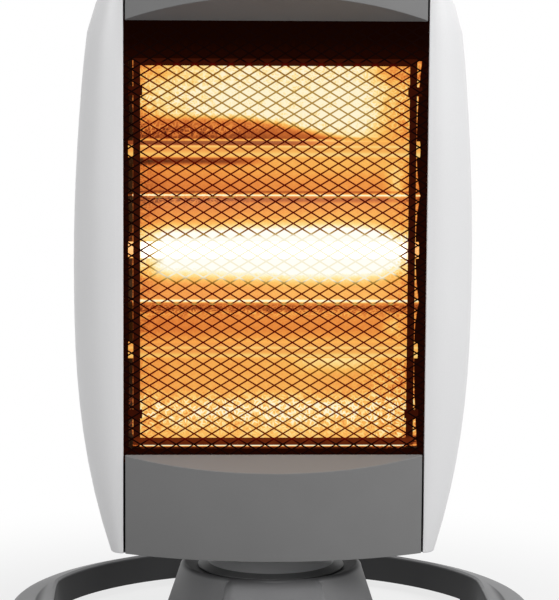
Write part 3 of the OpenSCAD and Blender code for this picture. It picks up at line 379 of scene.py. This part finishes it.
def setting_dots(finish):
    """Four printed dots round the knob, larger from off to full power."""
    circle, blur = 20.5 * MM, 0.15 * MM
    dots = 0.0
    for number, (along_x, along_y) in enumerate([(0, -1), (-1, 0), (0, 1), (1, 0)]):
        x = finish.x - knob_middle.x - along_x * circle
        y = finish.y - knob_middle.y - along_y * circle
        radius = (0.6 + 0.3 * number) * MM
        dots = 1 - (x * x + y * y).maths("SQRT").above(radius, radius + blur) + dots
    return dots


def pointer_line(finish):
    """A printed line along the front half of the knob's grip, pointing at the dots."""
    line = 1 - (finish.x - knob_middle.x).maths("ABSOLUTE").above(0.6 * MM, 0.75 * MM)
    front = 1 - (finish.y - knob_middle.y).above(-4.4 * MM, -4.2 * MM)
    on_grip = (finish.z - knob_high.z).above(-2.0 * MM, -1.8 * MM)
    return line * front * on_grip


def base_plastic():
    """The base's moulded grey, with painted shade on the ring's inner wall and in the hub's dish,
    which are also rougher.
    """
    finish = Finish("base_grey")
    pits = finish.noise(0.8 * MM, detail=4.0)
    cloud = finish.noise(35 * MM, detail=3.0)
    reach = finish.from_axis()
    # painted shade on the ring's inner wall and in the hub's dish
    wall = (reach.above(ARMS_END - 3 * MM, ARMS_END + 3 * MM)
            * (1 - reach.above(RING_HOLE + 2.2 * MM, RING_HOLE + 4.2 * MM))
            * (1 - finish.z.above(RING_TOP - 2.2 * MM, RING_TOP - 0.8 * MM)))
    dish = ((1 - reach.above(HUB_DISH - 1 * MM, HUB_DISH + 1 * MM))
            * finish.z.above(UNDER_DISH - 1 * MM, UNDER_DISH + 1 * MM))
    painted_shade = wall + dish * 0.8
    shade = finish.mix(cloud, tone(98, 98, 99), tone(106, 106, 107))
    shade = finish.mix(pits.above(0.62, 0.75) * 0.25, shade, tone(120, 120, 121))
    shade = finish.mix(painted_shade, shade, tone(50, 50, 51))
    return finish.surface(shade, 0.42 + cloud * 0.12 + painted_shade * 0.2,
                          normal=finish.bump(pits, 0.04 * MM, 0.5))


def collar_plastic():
    """The collar: a grey rim round a satin silver cone, both painted paler than their own colour
    as painted light where the body shades them.
    """
    finish = Finish("collar_satin")
    spun = finish.noise(0.5 * MM, detail=3.0, stretch=(1, 1, 4))
    cone = 1 - finish.from_axis().above(COLLAR_CONE - 0.5 * MM, COLLAR_CONE + 0.3 * MM)
    # both tones are painted paler, as painted light under the body's shade
    rim = finish.mix(spun, tone(134, 134, 135), tone(146, 146, 147))
    shade = finish.mix(cone, rim, tone(244, 244, 245))
    return finish.surface(shade, 0.42 + spun * 0.1, normal=finish.bump(spun, 0.01 * MM, 0.4))


def rubber():
    """Black rubber with dust in its hollows."""
    finish = Finish("rubber")
    dust = finish.noise(4 * MM, detail=5.0)
    shade = finish.mix(dust.above(0.5, 0.75) * 0.5, (0.018, 0.018, 0.018), (0.07, 0.068, 0.065))
    return finish.surface(shade, 0.78 + dust * 0.15, normal=finish.bump(dust, 0.05 * MM, 0.5))


def plated_steel(name, colour):
    """Zinc-plated steel with drawing streaks along Z."""
    finish = Finish(name)
    streak = finish.noise(1.2 * MM, detail=4.0, stretch=(1, 1, 0.15))
    cloud = finish.noise(9 * MM, detail=3.0)
    shade = finish.mix(cloud, tuple(c * 0.8 for c in colour), colour)
    return finish.surface(shade, 0.24 + streak * 0.22, metallic=1.0,
                          normal=finish.bump(streak, 0.01 * MM, 0.5))


def baked_black(name, colour, glow=None):
    """Black paint on steel, dulled by heat; glow is the function of the glow painted on it, the
    heater's light that it shows.
    """
    finish = Finish(name)
    grit = finish.noise(0.6 * MM, detail=4.0)
    cloud = finish.noise(18 * MM, detail=3.0)
    shade = finish.mix(cloud, colour, tuple(c * 1.6 + 0.001 for c in colour))
    more = {"normal": finish.bump(grit, 0.02 * MM, 0.5),
            "specular_ior_level": 0.0 if glow else 0.3}
    if glow:
        # painted glow, as emission
        more.update(emission_color=glow(finish), emission_strength=1.0)
    return finish.surface(shade, 0.55 + grit * 0.2, **more)


# Colours of the glow painted on lit metal, from unlit to dazzling
PAINTED_GLOW_COLOURS = [(0.0, (4, 1, 0)), (0.12, (58, 17, 5)), (0.25, (124, 50, 18)),
                (0.4, (186, 94, 38)), (0.5, (220, 124, 54)), (0.62, (240, 156, 70)),
                (0.74, (249, 190, 94)), (0.86, (253, 224, 146)), (0.94, (255, 243, 202)),
                (1.0, (255, 254, 247))]
# Colours of dark wire in front of it, from away from the light to lost in the dazzle
BACKLIT = [(0.0, (14, 2, 1)), (0.4, (84, 5, 0)), (0.56, (92, 12, 0)), (0.68, (108, 42, 0)),
           (0.78, (138, 88, 20)), (0.88, (186, 152, 78)), (0.96, (246, 240, 214))]


def painted_glow_colour(finish, painted_light, colours=PAINTED_GLOW_COLOURS):
    """The colour of this painted glow, 0 to 1."""
    stops = [(at, tone(*colour)) for at, colour in colours]
    return finish.node("ValToRGB", {"stops": stops}, [painted_light])


def glare(finish):
    """1 in the dazzle round the lit tube, 0 away from it; it is a little narrower at the ends."""
    left_end = 1 - finish.x.above(-100 * MM, -20 * MM)
    right_end = finish.x.above(50 * MM, 100 * MM)
    away = ((finish.z - tube_levels[1] + 2.4 * MM).maths("ABSOLUTE")
            + left_end * 0.8 * MM + right_end * 3.5 * MM)
    return 1 - away.above(11 * MM, 26 * MM)


def lower_trough(finish, slope):
    """Painted reflection on the lower trough: brighter towards its foot, with two painted
    highlights right of the middle and painted shade at its lower right.
    """
    x, z = finish.x, finish.z
    tube, fold = tube_levels[2], crease_levels[2]
    clear_of_fold = 1 - z.above(fold - 34 * MM, fold - 22 * MM)
    bend = z.near(window_low + 27 * MM, 15 * MM)
    foot = 1 - z.above(window_low + 10 * MM, window_low + 24 * MM)
    wide_highlight = z.near(tube - 4 * MM, 12 * MM) * x.near(48 * MM, 55 * MM)
    narrow_highlight = z.near(tube - 12 * MM, 11 * MM) * x.near(50 * MM, 50 * MM)
    shaded_corner = x.above(15 * MM, 60 * MM) * (1 - z.above(tube - 16 * MM, tube - 4 * MM))
    return (0.52 + clear_of_fold * 0.14 + bend * 0.14 + foot * 0.07 + wide_highlight * 0.08
            + narrow_highlight * 0.17 - shaded_corner * 0.06 + slope * 0.05)


def middle_trough(finish, slope):
    """Painted light in the lit tube's own trough, under its glare; painted shade under the upper
    fold.
    """
    fold = crease_levels[1]
    return 0.64 - finish.z.above(fold - 20 * MM, fold - 8 * MM) * 0.1 + slope * 0.11


def upper_trough(finish, slope):
    """Painted light: a pale field above the unlit tube, with that tube's painted shadow on its
    left part.
    """
    x, z = finish.x, finish.z
    tube, fold = tube_levels[0], crease_levels[1]
    over_tube = z.above(tube + 6.5 * MM, tube + 8 * MM)
    left_corners = (1 - x.above(-95 * MM, -60 * MM)) * (
        z.above(tube + 42 * MM, tube + 58 * MM) + 1 - z.above(tube + 22 * MM, tube + 36 * MM))
    field = (0.16 + z.above(tube + 12 * MM, tube + 26 * MM) * 0.06
             + x.near(-30 * MM, 50 * MM) * 0.05
             - x.above(60 * MM, 90 * MM) * 0.2 - left_corners * 0.1
             + x.near(90 * MM, 30 * MM) * z.near(tube + 44 * MM, 14 * MM) * 0.05
             - (1 - x.above(-104 * MM, -88 * MM)) * 0.14)
    under_roof = (z.above(tube + 42 * MM, tube + 54 * MM)
                  * (0.05 + x.above(60 * MM, 85 * MM) * 0.1))
    lit = (0.51 + z.above(fold + 4 * MM, fold + 20 * MM) * 0.13 + slope * 0.1
           + z.above(tube - 6 * MM, tube) * 0.04 + over_tube * field - under_roof)
    # the shadow is deep at the left and runs out right of the middle
    brow = tube + 22 * MM - x.above(-30 * MM, 75 * MM) * 18 * MM
    shadow = z.above(tube + 5.5 * MM, tube + 6.7 * MM) * (1 - (z - brow).above(-4 * MM, 4 * MM))
    shaded = 0.27 + (z - tube - 8 * MM) * 17.0 + x.above(-50 * MM, 30 * MM) * 0.1
    return lit * (1 - shadow) + shaded * shadow


def sheet_painted_light(finish):
    """The painted reflection of the lit tube on the folded sheet, 0 to 1: what faces the tube is
    painted bright.
    """
    x, z = finish.x, finish.z
    upper_fold, lower_fold = crease_levels[1:3]
    step = 0.05 * MM
    above_lower = z.above(lower_fold - step, lower_fold + step)
    above_upper = z.above(upper_fold - step, upper_fold + step)
    ends = x.maths("ABSOLUTE").above(74 * MM, 99 * MM)
    slope = x.above(-85 * MM, 45 * MM) - 0.5 - ends
    painted_light = (lower_trough(finish, slope) * (1 - above_lower)
            + (middle_trough(finish, slope) * (1 - above_upper)
               + upper_trough(finish, slope) * above_upper) * above_lower)
    # painted shade just under both folds
    under_folds = (z.near(upper_fold - 3.4 * MM, 4.2 * MM)
                   + z.near(lower_fold - 4.8 * MM, 5.8 * MM))
    # both unlit troughs mirror a bright upright near the right end
    upright = x.near(89 * MM, 12 * MM) * (z.near(upper_fold + 6 * MM, 24 * MM)
                                          + z.near(tube_levels[2] + 16 * MM, 12 * MM))
    # painted shade under the top tube's left part and just over the upper fold
    under_top_tube = z.near(tube_levels[0] - 9.9 * MM, 4.2 * MM) * (1 - x.above(-36 * MM, 2 * MM))
    over_fold = z.near(upper_fold + 2.2 * MM, 1.2 * MM)
    painted_light = painted_light - under_folds * 0.22 + upright * 0.26 - under_top_tube * 0.4 - over_fold * 0.2
    # the folds' edges catch the light as two thin lines
    lines = z.near(upper_fold + 0.1 * MM, 1.2 * MM) + z.near(lower_fold + 1.4 * MM, 1.4 * MM)
    painted_light = painted_light + (1.0 - painted_light) * lines * 0.95
    return painted_light + glare(finish) * (0.42 - ends * 0.12)


def bar_painted_glow(finish):
    """Painted glow on the bars: dark red, a little brighter on the lower one."""
    low = 1 - finish.z.above(window_low + 9 * MM, window_low + 13 * MM)
    warm = finish.noise(6 * MM, detail=3.0)
    return painted_glow_colour(finish, (low * 0.08 + 0.1) * (0.8 + warm * 0.4))


def strand_painted_glow(finish):
    """Painted light on the strands: lost in the painted glare of the lit tube, and a painted
    rust-brown glow beside it.
    """
    inside = ((1 - finish.x.maths("ABSOLUTE").above(88 * MM, 98 * MM))
              * finish.z.above(window_low + 8 * MM, window_low + 14 * MM)
              * (1 - finish.z.above(sheet_high.z - 4 * MM, sheet_high.z + 1 * MM)))
    painted_light = sheet_painted_light(finish) * 0.9 + glare(finish) * 0.08
    return painted_glow_colour(finish, painted_light * inside, BACKLIT)


def comb_painted_glow(finish):
    """A breath of painted red glow on the black parts above the reflector, strongest just above
    it.
    """
    close = 1 - finish.z.above(sheet_high.z, sheet_high.z + 16 * MM)
    return painted_glow_colour(finish, 0.012 + close * 0.018)


def stucco_aluminium():
    """Embossed aluminium, with the lit tube's reflection painted on it as glow."""
    finish = Finish("stucco_aluminium")
    x, z = finish.x, finish.z
    across = x.maths("ABSOLUTE")
    top_tube = tube_levels[0]
    upper_fold, lower_fold = crease_levels[1:3]
    pebble = finish.cells(3.4 * MM, "SMOOTH_F1")
    seam = finish.cells(3.4 * MM, "DISTANCE_TO_EDGE")
    fine = finish.noise(1.6 * MM, detail=3.0)
    cloud = finish.noise(30 * MM)
    # the embossing shows where the light grazes it: low down, under the folds and at the ends
    left = 1 - x.above(-60 * MM, 0.0)
    low_right = (x.above(55 * MM, 85 * MM)
                 * (1 - z.above(window_low + 45 * MM, window_low + 70 * MM)))
    graze = (z.near(window_low + 25 * MM, 20 * MM) + z.near(lower_fold - 7 * MM, 9 * MM)
             + (z.near(upper_fold - 3 * MM, 7 * MM) + z.near(top_tube + 11 * MM, 8 * MM)) * left
             + z.above(top_tube + 10 * MM, top_tube + 16 * MM) * 0.3 + low_right * 0.7
             + across.above(80 * MM, 100 * MM) * 0.5 + 0.12).maths("MINIMUM", 1.1)
    web = 1 - seam.above(0.05, 0.2)
    painted_light = sheet_painted_light(finish) + (web * 0.21 - pebble.above(0.35, 0.65) * 0.18) * graze
    painted_light = painted_light + (fine - 0.5) * 0.09 + (cloud - 0.5) * 0.1
    # painted shade in strips at both ends, and a painted highlight along the sheet's lip under
    # the lower bar
    strips = (across - x * 0.014).above(102.8 * MM, 104.2 * MM)
    lip = z.near(window_low + 3.8 * MM, 1.0 * MM)
    under_lip = 1 - z.above(window_low + 2.4 * MM, window_low + 3.4 * MM)
    low_corners = ((1 - z.above(window_low + 9 * MM, window_low + 11 * MM))
                   * across.above(96 * MM, 98 * MM))
    painted_light = painted_light - strips * 0.7 + lip * 0.3 - under_lip * 0.6 - low_corners * 0.5
    painted_light = painted_light.maths("MINIMUM", glare(finish) * 0.2 + 0.95)
    # the painted reflection and glow go in as emission
    return finish.surface((0.07, 0.04, 0.02), 0.5, metallic=0.35, specular_ior_level=0.1,
                          emission_color=painted_glow_colour(finish, painted_light), emission_strength=0.97,
                          normal=finish.bump(pebble, 0.35 * MM, 0.7))


def quartz(name, level, shaded):
    """An unlit quartz tube with a painted amber glow and painted highlights along its upper side
    and its lower half; the one that stands before the upper trough's shadow shows it as a painted
    reflection along its top."""
    finish = Finish(name)
    streak = finish.noise(5 * MM, detail=3.0, stretch=(0.15, 1, 1))
    over_axis = finish.z - level
    # painted reflection of the upper trough's shadow along the top
    painted_shade = over_axis.above(2.8 * MM, 3.8 * MM) * (1 - finish.x.above(5 * MM, 50 * MM)) * shaded
    upper_side = over_axis.near(2.4 * MM, 1.6 * MM)
    lower_half = over_axis.near(-3.4 * MM, 3.4 * MM)
    painted_light = (0.63 + upper_side * 0.12 + lower_half * 0.13
            + finish.x.above(-70 * MM, 50 * MM) * 0.05 + (streak - 0.5) * 0.1 - painted_shade * 0.34)
    return finish.surface((0.06, 0.04, 0.025), 0.2, emission_color=painted_glow_colour(finish, painted_light),
                          emission_strength=0.95, specular_ior_level=0.12)


def white_hot(name, colour, strength):
    """A glowing piece; outside the bars it is only amber."""
    finish = Finish(name)
    shimmer = finish.noise(7 * MM, detail=3.0)
    glow = finish.mix(shimmer * 0.2, colour, (1.0, 0.98, 0.9))
    amber = tuple(c / strength for c in tone(240, 166, 76))
    outside = finish.x.maths("ABSOLUTE").above(94 * MM, 99 * MM)
    glow = finish.mix(outside, glow, amber)
    return finish.surface((0.9, 0.8, 0.6), 0.3, emission_color=glow, emission_strength=strength)


def ceramic():
    """Steatite, matt and speckled."""
    finish = Finish("ceramic")
    speck = finish.noise(0.8 * MM, detail=4.0)
    shade = finish.mix(speck.above(0.5, 0.7) * 0.4, (0.78, 0.75, 0.68), (0.6, 0.55, 0.46))
    return finish.surface(shade, 0.7, normal=finish.bump(speck, 0.05 * MM, 0.5))


silver = silver_paint()
panel_grey = moulded("panel_grey", tone(104, 104, 104), lift=0.12)
cap_grey = moulded("cap_grey", tone(104, 104, 104), rough=0.44, lift=0.12,
                   marks=(setting_dots, tone(224, 224, 224)))
base_grey = base_plastic()
collar_satin = collar_plastic()
shell_black = moulded("shell_black", tone(52, 53, 55), grain=0.9 * MM, rough=0.52)
switch_black = moulded("switch_black", tone(44, 45, 47), grain=0.5 * MM)
satin = {"colour": tone(186, 188, 191), "grain": 0.4 * MM, "rough": 0.3, "lift": 0.06}
control_silver = moulded("control_silver", **satin)
knob_silver = moulded("knob_silver", marks=(pointer_line, tone(60, 60, 61)), **satin)
acetal = moulded("acetal", tone(226, 222, 210), grain=0.5 * MM, rough=0.4, lift=0.05)
ivory = moulded("ivory", tone(224, 216, 196), grain=0.5 * MM, lift=0.05)
plunger_red = moulded("plunger_red", tone(170, 44, 34), grain=0.5 * MM, lift=0.1)
black_rubber = rubber()
zinc = plated_steel("plated_steel", (0.56, 0.56, 0.57))
screw_zinc = plated_steel("screw_zinc", (0.62, 0.61, 0.58))
cast_black = baked_black("cast_black", (0.02, 0.02, 0.02))
plate_black = baked_black("plate_black", (0.03, 0.03, 0.031))
housing_black = baked_black("housing_black", (0.0016, 0.0005, 0.0004), glow=comb_painted_glow)
bar_black = baked_black("bar_black", (0.0014, 0.0006, 0.0005), glow=bar_painted_glow)
mesh_black = baked_black("mesh_black", (0.0014, 0.0006, 0.0005), glow=strand_painted_glow)
reflector_sheet = stucco_aluminium()
quartz_top = quartz("quartz_top", tube_levels[0], 1.0)
quartz_low = quartz("quartz_low", tube_levels[2], 0.0)
quartz_lit = white_hot("quartz_lit", (1.0, 0.95, 0.80), 1.6)
filament_hot = white_hot("filament_hot", (1.0, 0.80, 0.45), 3.0)
steatite = ceramic()


# ---------------------------------------------------------------- base

def base_shell():
    """The base moulding, with the hole of its ring drawn in to straight sides beside the axis.
    What lies inside still_inside or outside still_outside stays where it is."""
    piece = copied("base_moulding")
    straight, corner = 161 * MM, 3 * MM
    still_inside, blend_in = 130 * MM, 35 * MM
    still_outside, blend_out = 187 * MM, 9 * MM
    for vertex in piece.data.vertices:
        x, y = vertex.co.x, vertex.co.y
        reach = math.hypot(x, y)
        if reach < still_inside:
            continue
        on_wall = min((reach - still_inside) / blend_in, 1.0,
                      max(0.0, (still_outside - reach) / blend_out))
        past = RING_HOLE - straight * reach / max(abs(x), 1 * MM)
        draw = (past + math.hypot(past, corner)) / 2 * on_wall
        vertex.co.x, vertex.co.y = x * (1 - draw / reach), y * (1 - draw / reach)
    return smoothed(piece, 35)


# ---------------------------------------------------------------- body

for side in ("side_panel_left", "side_panel_right"):
    dressed(side, silver, 0.55 * MM, segments=3, limit=40)
dressed("lower_panel", panel_grey, 0.4 * MM)
dressed("upper_panel", panel_grey, 0.4 * MM)
dressed("top_cap", cap_grey, 0.6 * MM, limit=40)
dressed("rear_shell", shell_black, 0.0, limit=40)
dressed("carry_handle", shell_black, 2.2 * MM, segments=4, limit=50)
dressed("bottom_tray", shell_black, 0.3 * MM)
dressed("turntable_collar", collar_satin, 0.3 * MM)
settled(base_shell(), "base_moulding", base_grey)
dressed("power_knob", knob_silver, 0.4 * MM, segments=3)
dressed("oscillation_button", control_silver, 0.25 * MM)
dressed("rubber_feet", black_rubber, 0.8 * MM, segments=3)
dressed("bar_frame", bar_black, 0.4 * MM)
dressed("frame_lugs", bar_black, 0.3 * MM)
dressed("inlet_bush", black_rubber, 0.4 * MM)
dressed("tip_plunger", plunger_red, 0.3 * MM)
dressed("vent_comb", housing_black, 0.12 * MM)
kept(housing_black, "inner_housing")
kept(plate_black, "base_plate")
kept(cast_black, "ballast_ring")
kept(screw_zinc, "base_screws", "pivot_screws", "tray_screws", "handle_screws", "housing_screws",
     "motor_screws")
kept(bar_black, "lug_screws")
kept(zinc, "pivot_tube", "retaining_nut", "cap_brackets", "thermal_cutout", "oscillation_motor")
kept(acetal, "fixed_gear", "drive_pinion", "thrust_washer")
kept(switch_black, "tip_switch", "selector_switch", "oscillation_switch")
kept(ivory, "terminal_block")
kept(steatite, "ceramic_caps")


# ---------------------------------------------------------------- mesh grille

def grille():
    """Crossing strands with a knuckle at each crossing, one cross to each, inside a flat rim."""
    width, height = 2 * (window_x + SLIP), window_high - window_low + 2 * SLIP
    diamond_width, diamond_height = 12.8 * MM, 7.8 * MM
    recipe = Recipe("diamond_mesh", columns=round(width / diamond_width),
                    rows=round(height / diamond_height), width=width, height=height,
                    strand=1.1 * MM, knuckle=0.32, finish=mesh_black)
    get = recipe.inputs
    across, up = get["columns"] * 2 + 1, get["rows"] * 2 + 1
    lattice = recipe.node("MeshGrid", None, [get["width"], get["height"], across, up])
    index = recipe.node("InputIndex")
    column = (index / up).maths("FLOOR")
    odd = (column + index - column * up).maths("MODULO", 2.0)
    crossings = recipe.node("DeleteGeometry", {"domain": "POINT"},
                            {"Geometry": lattice, "Selection": odd})
    step_x, step_y = get["width"] / get["columns"] / 4, get["height"] / get["rows"] / 4
    ring = recipe.node("CurvePrimitiveCircle", None,
                       {"Resolution": 6, "Radius": get["strand"] / 2})
    arms = []
    for lean in (1, -1):
        ends = {"Start": recipe.vector(step_x * -1, step_y * -lean),
                "End": recipe.vector(step_x, step_y * lean)}
        line = recipe.node("CurvePrimitiveLine", None, ends)
        line = recipe.node("ResampleCurve", None, {"Curve": line, "Count": 5})
        along = recipe.node("SplineParameter")
        thick = (along - 0.5).maths("ABSOLUTE").above(0.0, 0.3) * -1 + 1
        line = recipe.node("SetCurveRadius", None,
                           {"Curve": line, "Radius": thick * get["knuckle"] + 1})
        arms.append(recipe.node("CurveToMesh", None, {"Curve": line, "Profile Curve": ring}))
    cross = recipe.tree.nodes.new("GeometryNodeJoinGeometry")
    for arm in arms:
        recipe.tree.links.new(arm.socket, cross.inputs[0])
    crosses = recipe.node("InstanceOnPoints", None,
                          {"Points": crossings, "Instance": Wire(recipe, cross.outputs[0])})
    return recipe.made("grille_strands", crosses)


def grille_rim():
    """The flat rim that holds the strands, as one bent strip."""
    form = bmesh.new()
    outer = [(grille_low.x, grille_low.z), (grille_high.x, grille_low.z),
             (grille_high.x, grille_high.z), (grille_low.x, grille_high.z)]
    inner = [(math.copysign(abs(x) - MESH_RIM, x),
              z + (MESH_RIM if z == grille_low.z else -MESH_RIM)) for x, z in outer]
    loops = [[form.verts.new((x, y, z)) for x, z in loop]
             for y in (grille_low.y, grille_high.y) for loop in (outer, inner)]
    front_out, front_in, back_out, back_in = loops
    for i in range(4):
        j = (i + 1) % 4
        form.faces.new((front_out[i], front_out[j], front_in[j], front_in[i]))
        form.faces.new((back_in[i], back_in[j], back_out[j], back_out[i]))
        form.faces.new((front_in[i], front_in[j], back_in[j], back_in[i]))
        form.faces.new((back_out[i], back_out[j], front_out[j], front_out[i]))
    mesh = bpy.data.meshes.new("grille_rim")
    bmesh.ops.recalc_face_normals(form, faces=form.faces)
    form.to_mesh(mesh)
    form.free()
    return rounded(new_piece("grille_rim", mesh), 0.2 * MM)


strands = grille()
strands.data.transform(Matrix.Translation((grille_low + grille_high) / 2)
                       @ Matrix.Rotation(math.radians(90), 4, "X"))
rim = painted(grille_rim(), mesh_black)
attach(rim, "head")
settled(smoothed(strands, 60), "mesh_grille", mesh_black)


# ---------------------------------------------------------------- reflector, tubes and filaments

def reflector():
    """Three troughs folded from one sheet, each deepest behind its tube."""
    steps = 22
    depth = sheet_high.y - SHEET - sheet_low.y
    front = []
    for number in (2, 1, 0):
        low, high, tube = crease_levels[number + 1], crease_levels[number], tube_levels[number]
        for step in range(steps + 1):
            level = low + (high - low) * step / steps
            half = high - tube if level > tube else tube - low
            front.append((sheet_low.y + depth * (1 - ((level - tube) / half) ** 2), level))
    # two troughs that meet give the fold between them twice
    points = front[:1] + [b for a, b in zip(front, front[1:]) if b[1] - a[1] > 0.01 * MM]
    form = bmesh.new()
    sides = [[form.verts.new((x, y, z)) for y, z in points] for x in (sheet_low.x, sheet_high.x)]
    for left, right in zip(zip(sides[0], sides[0][1:]), zip(sides[1], sides[1][1:])):
        form.faces.new((left[0], right[0], right[1], left[1]))
    mesh = bpy.data.meshes.new("reflector_troughs")
    form.to_mesh(mesh)
    form.free()
    piece = new_piece("reflector_troughs", mesh)
    wall = piece.modifiers.new("sheet", "SOLIDIFY")
    wall.thickness = SHEET
    wall.offset = -1.0
    return smoothed(baked(piece), 40)


def filament_coils():
    """Three glowing coils, each along the middle of its tube."""
    low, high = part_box("filaments")
    recipe = Recipe("filament_coils", tubes=3, pitch=tube_levels[0] - tube_levels[1],
                    length=high.x - low.x, turns=70, radius=0.9 * MM, wire=0.32 * MM,
                    finish=filament_hot)
    get = recipe.inputs
    coil = recipe.node("CurveSpiral", None, {
        "Resolution": 9, "Rotations": get["turns"], "Height": get["length"],
        "Start Radius": get["radius"], "End Radius": get["radius"]})
    ring = recipe.node("CurvePrimitiveCircle", None, {"Resolution": 4, "Radius": get["wire"]})
    wire = recipe.node("CurveToMesh", None, {"Curve": coil, "Profile Curve": ring})
    places = recipe.node("MeshLine", None,
                         {"Count": get["tubes"], "Offset": recipe.vector(get["pitch"])})
    coils = recipe.node("InstanceOnPoints", None, {"Points": places, "Instance": wire})
    piece = recipe.made("filament_coils", coils)
    # the coils stand along +Z in a row along +X: lay them along X, one above another
    piece.data.transform(Matrix.Translation((low.x, tube_y, tube_levels[2]))
                         @ Matrix(((0, 0, 1, 0), (0, -1, 0, 0), (1, 0, 0, 0), (0, 0, 0, 1))))
    return piece


settled(reflector(), "reflector", reflector_sheet)
dressed("tube_top", quartz_top, 0.3 * MM)
dressed("tube_middle", quartz_lit, 0.3 * MM)
dressed("tube_bottom", quartz_low, 0.3 * MM)
settled(filament_coils(), "filaments", filament_hot)


# ---------------------------------------------------------------- studio and camera

def studio_white():
    """Pale under the lamps; plain white to the camera and in reflections, its shadow kept."""
    finish = Finish("studio_white")
    seen = (finish.ray("Camera").maths("MAXIMUM", finish.ray("Glossy"))
            .maths("MAXIMUM", finish.ray("Transmission")))
    # less of the plain white near the heater, where its shadow lies
    whiteness = 0.78 + finish.from_axis().above(0.2, 0.5) * 0.22
    pale = finish.node("BsdfDiffuse", None, {"Color": (0.45, 0.45, 0.45, 1)})
    white = finish.node("Emission", None, {"Color": (1, 1, 1, 1), "Strength": 1.0})
    both = finish.node("MixShader", None, [seen * whiteness, pale, white])
    finish.node("OutputMaterial", None, {"Surface": both})
    return finish.material


def floor():
    """A floor far wider than the view."""
    form = bmesh.new()
    bmesh.ops.create_circle(form, cap_ends=True, radius=9.0, segments=64)
    mesh = bpy.data.meshes.new("studio_floor")
    form.to_mesh(mesh)
    form.free()
    piece = painted(new_piece("studio_floor", mesh), studio_white())


def world():
    """Dim white light from all round; plain white to the camera and in reflections."""
    studio = bpy.data.worlds.new("studio")
    studio.use_nodes = True
    sky = Tree()
    sky.tree = studio.node_tree
    sky.tree.nodes.clear()
    seen = sky.ray("Camera").maths("MAXIMUM", sky.ray("Glossy"))
    dim, white = (sky.node("Background", None, {"Color": (1, 1, 1, 1), "Strength": strength})
                  for strength in (0.36, 1.0))
    both = sky.node("MixShader", None, [seen, dim, white])
    sky.node("OutputWorld", None, {"Surface": both})
    bpy.context.scene.world = studio


def lamp(name, place, size, power):
    """A square area lamp that looks at the middle of the heater."""
    light = bpy.data.lights.new(name, "AREA")
    light.shape, light.size, light.energy = "SQUARE", size, power
    stand = bpy.data.objects.new(name, light)
    stand.location = place
    aim = Vector((0, 0, 0.28)) - Vector(place)
    stand.rotation_euler = aim.to_track_quat("-Z", "Y").to_euler()
    bpy.context.scene.collection.objects.link(stand)


def camera():
    """The photograph's view: a long lens a little left of the middle, just above the controls."""
    azimuth, pitch, roll = math.radians(-2.2), math.radians(7.33), math.radians(0.35)
    distance, height = 2.025, 0.5103
    focus_px, middle_px, wide_px = 2786.8, 272.4, 559.0
    lens = bpy.data.cameras.new("camera")
    lens.sensor_fit, lens.sensor_width = "HORIZONTAL", 36.0
    lens.lens = focus_px / wide_px * lens.sensor_width
    lens.shift_x = (wide_px / 2 - middle_px) / wide_px
    lens.clip_end = 50
    stand = bpy.data.objects.new("camera", lens)
    place = (math.sin(azimuth) * distance, -math.cos(azimuth) * distance, height)
    stand.matrix_world = (Matrix.Translation(place) @ Matrix.Rotation(azimuth, 4, "Z")
                          @ Matrix.Rotation(math.pi / 2 - pitch, 4, "X")
                          @ Matrix.Rotation(roll, 4, "Z"))
    bpy.context.scene.collection.objects.link(stand)
    bpy.context.scene.camera = stand


floor()
world()
lamp("key", (2.0, -1.3, 1.9), 1.2, 56)
lamp("fill", (-1.7, -1.3, 1.0), 1.4, 10)
lamp("top", (0.0, -0.5, 2.2), 1.4, 28)
camera()
bpy.context.scene.view_settings.view_transform = "Standard"
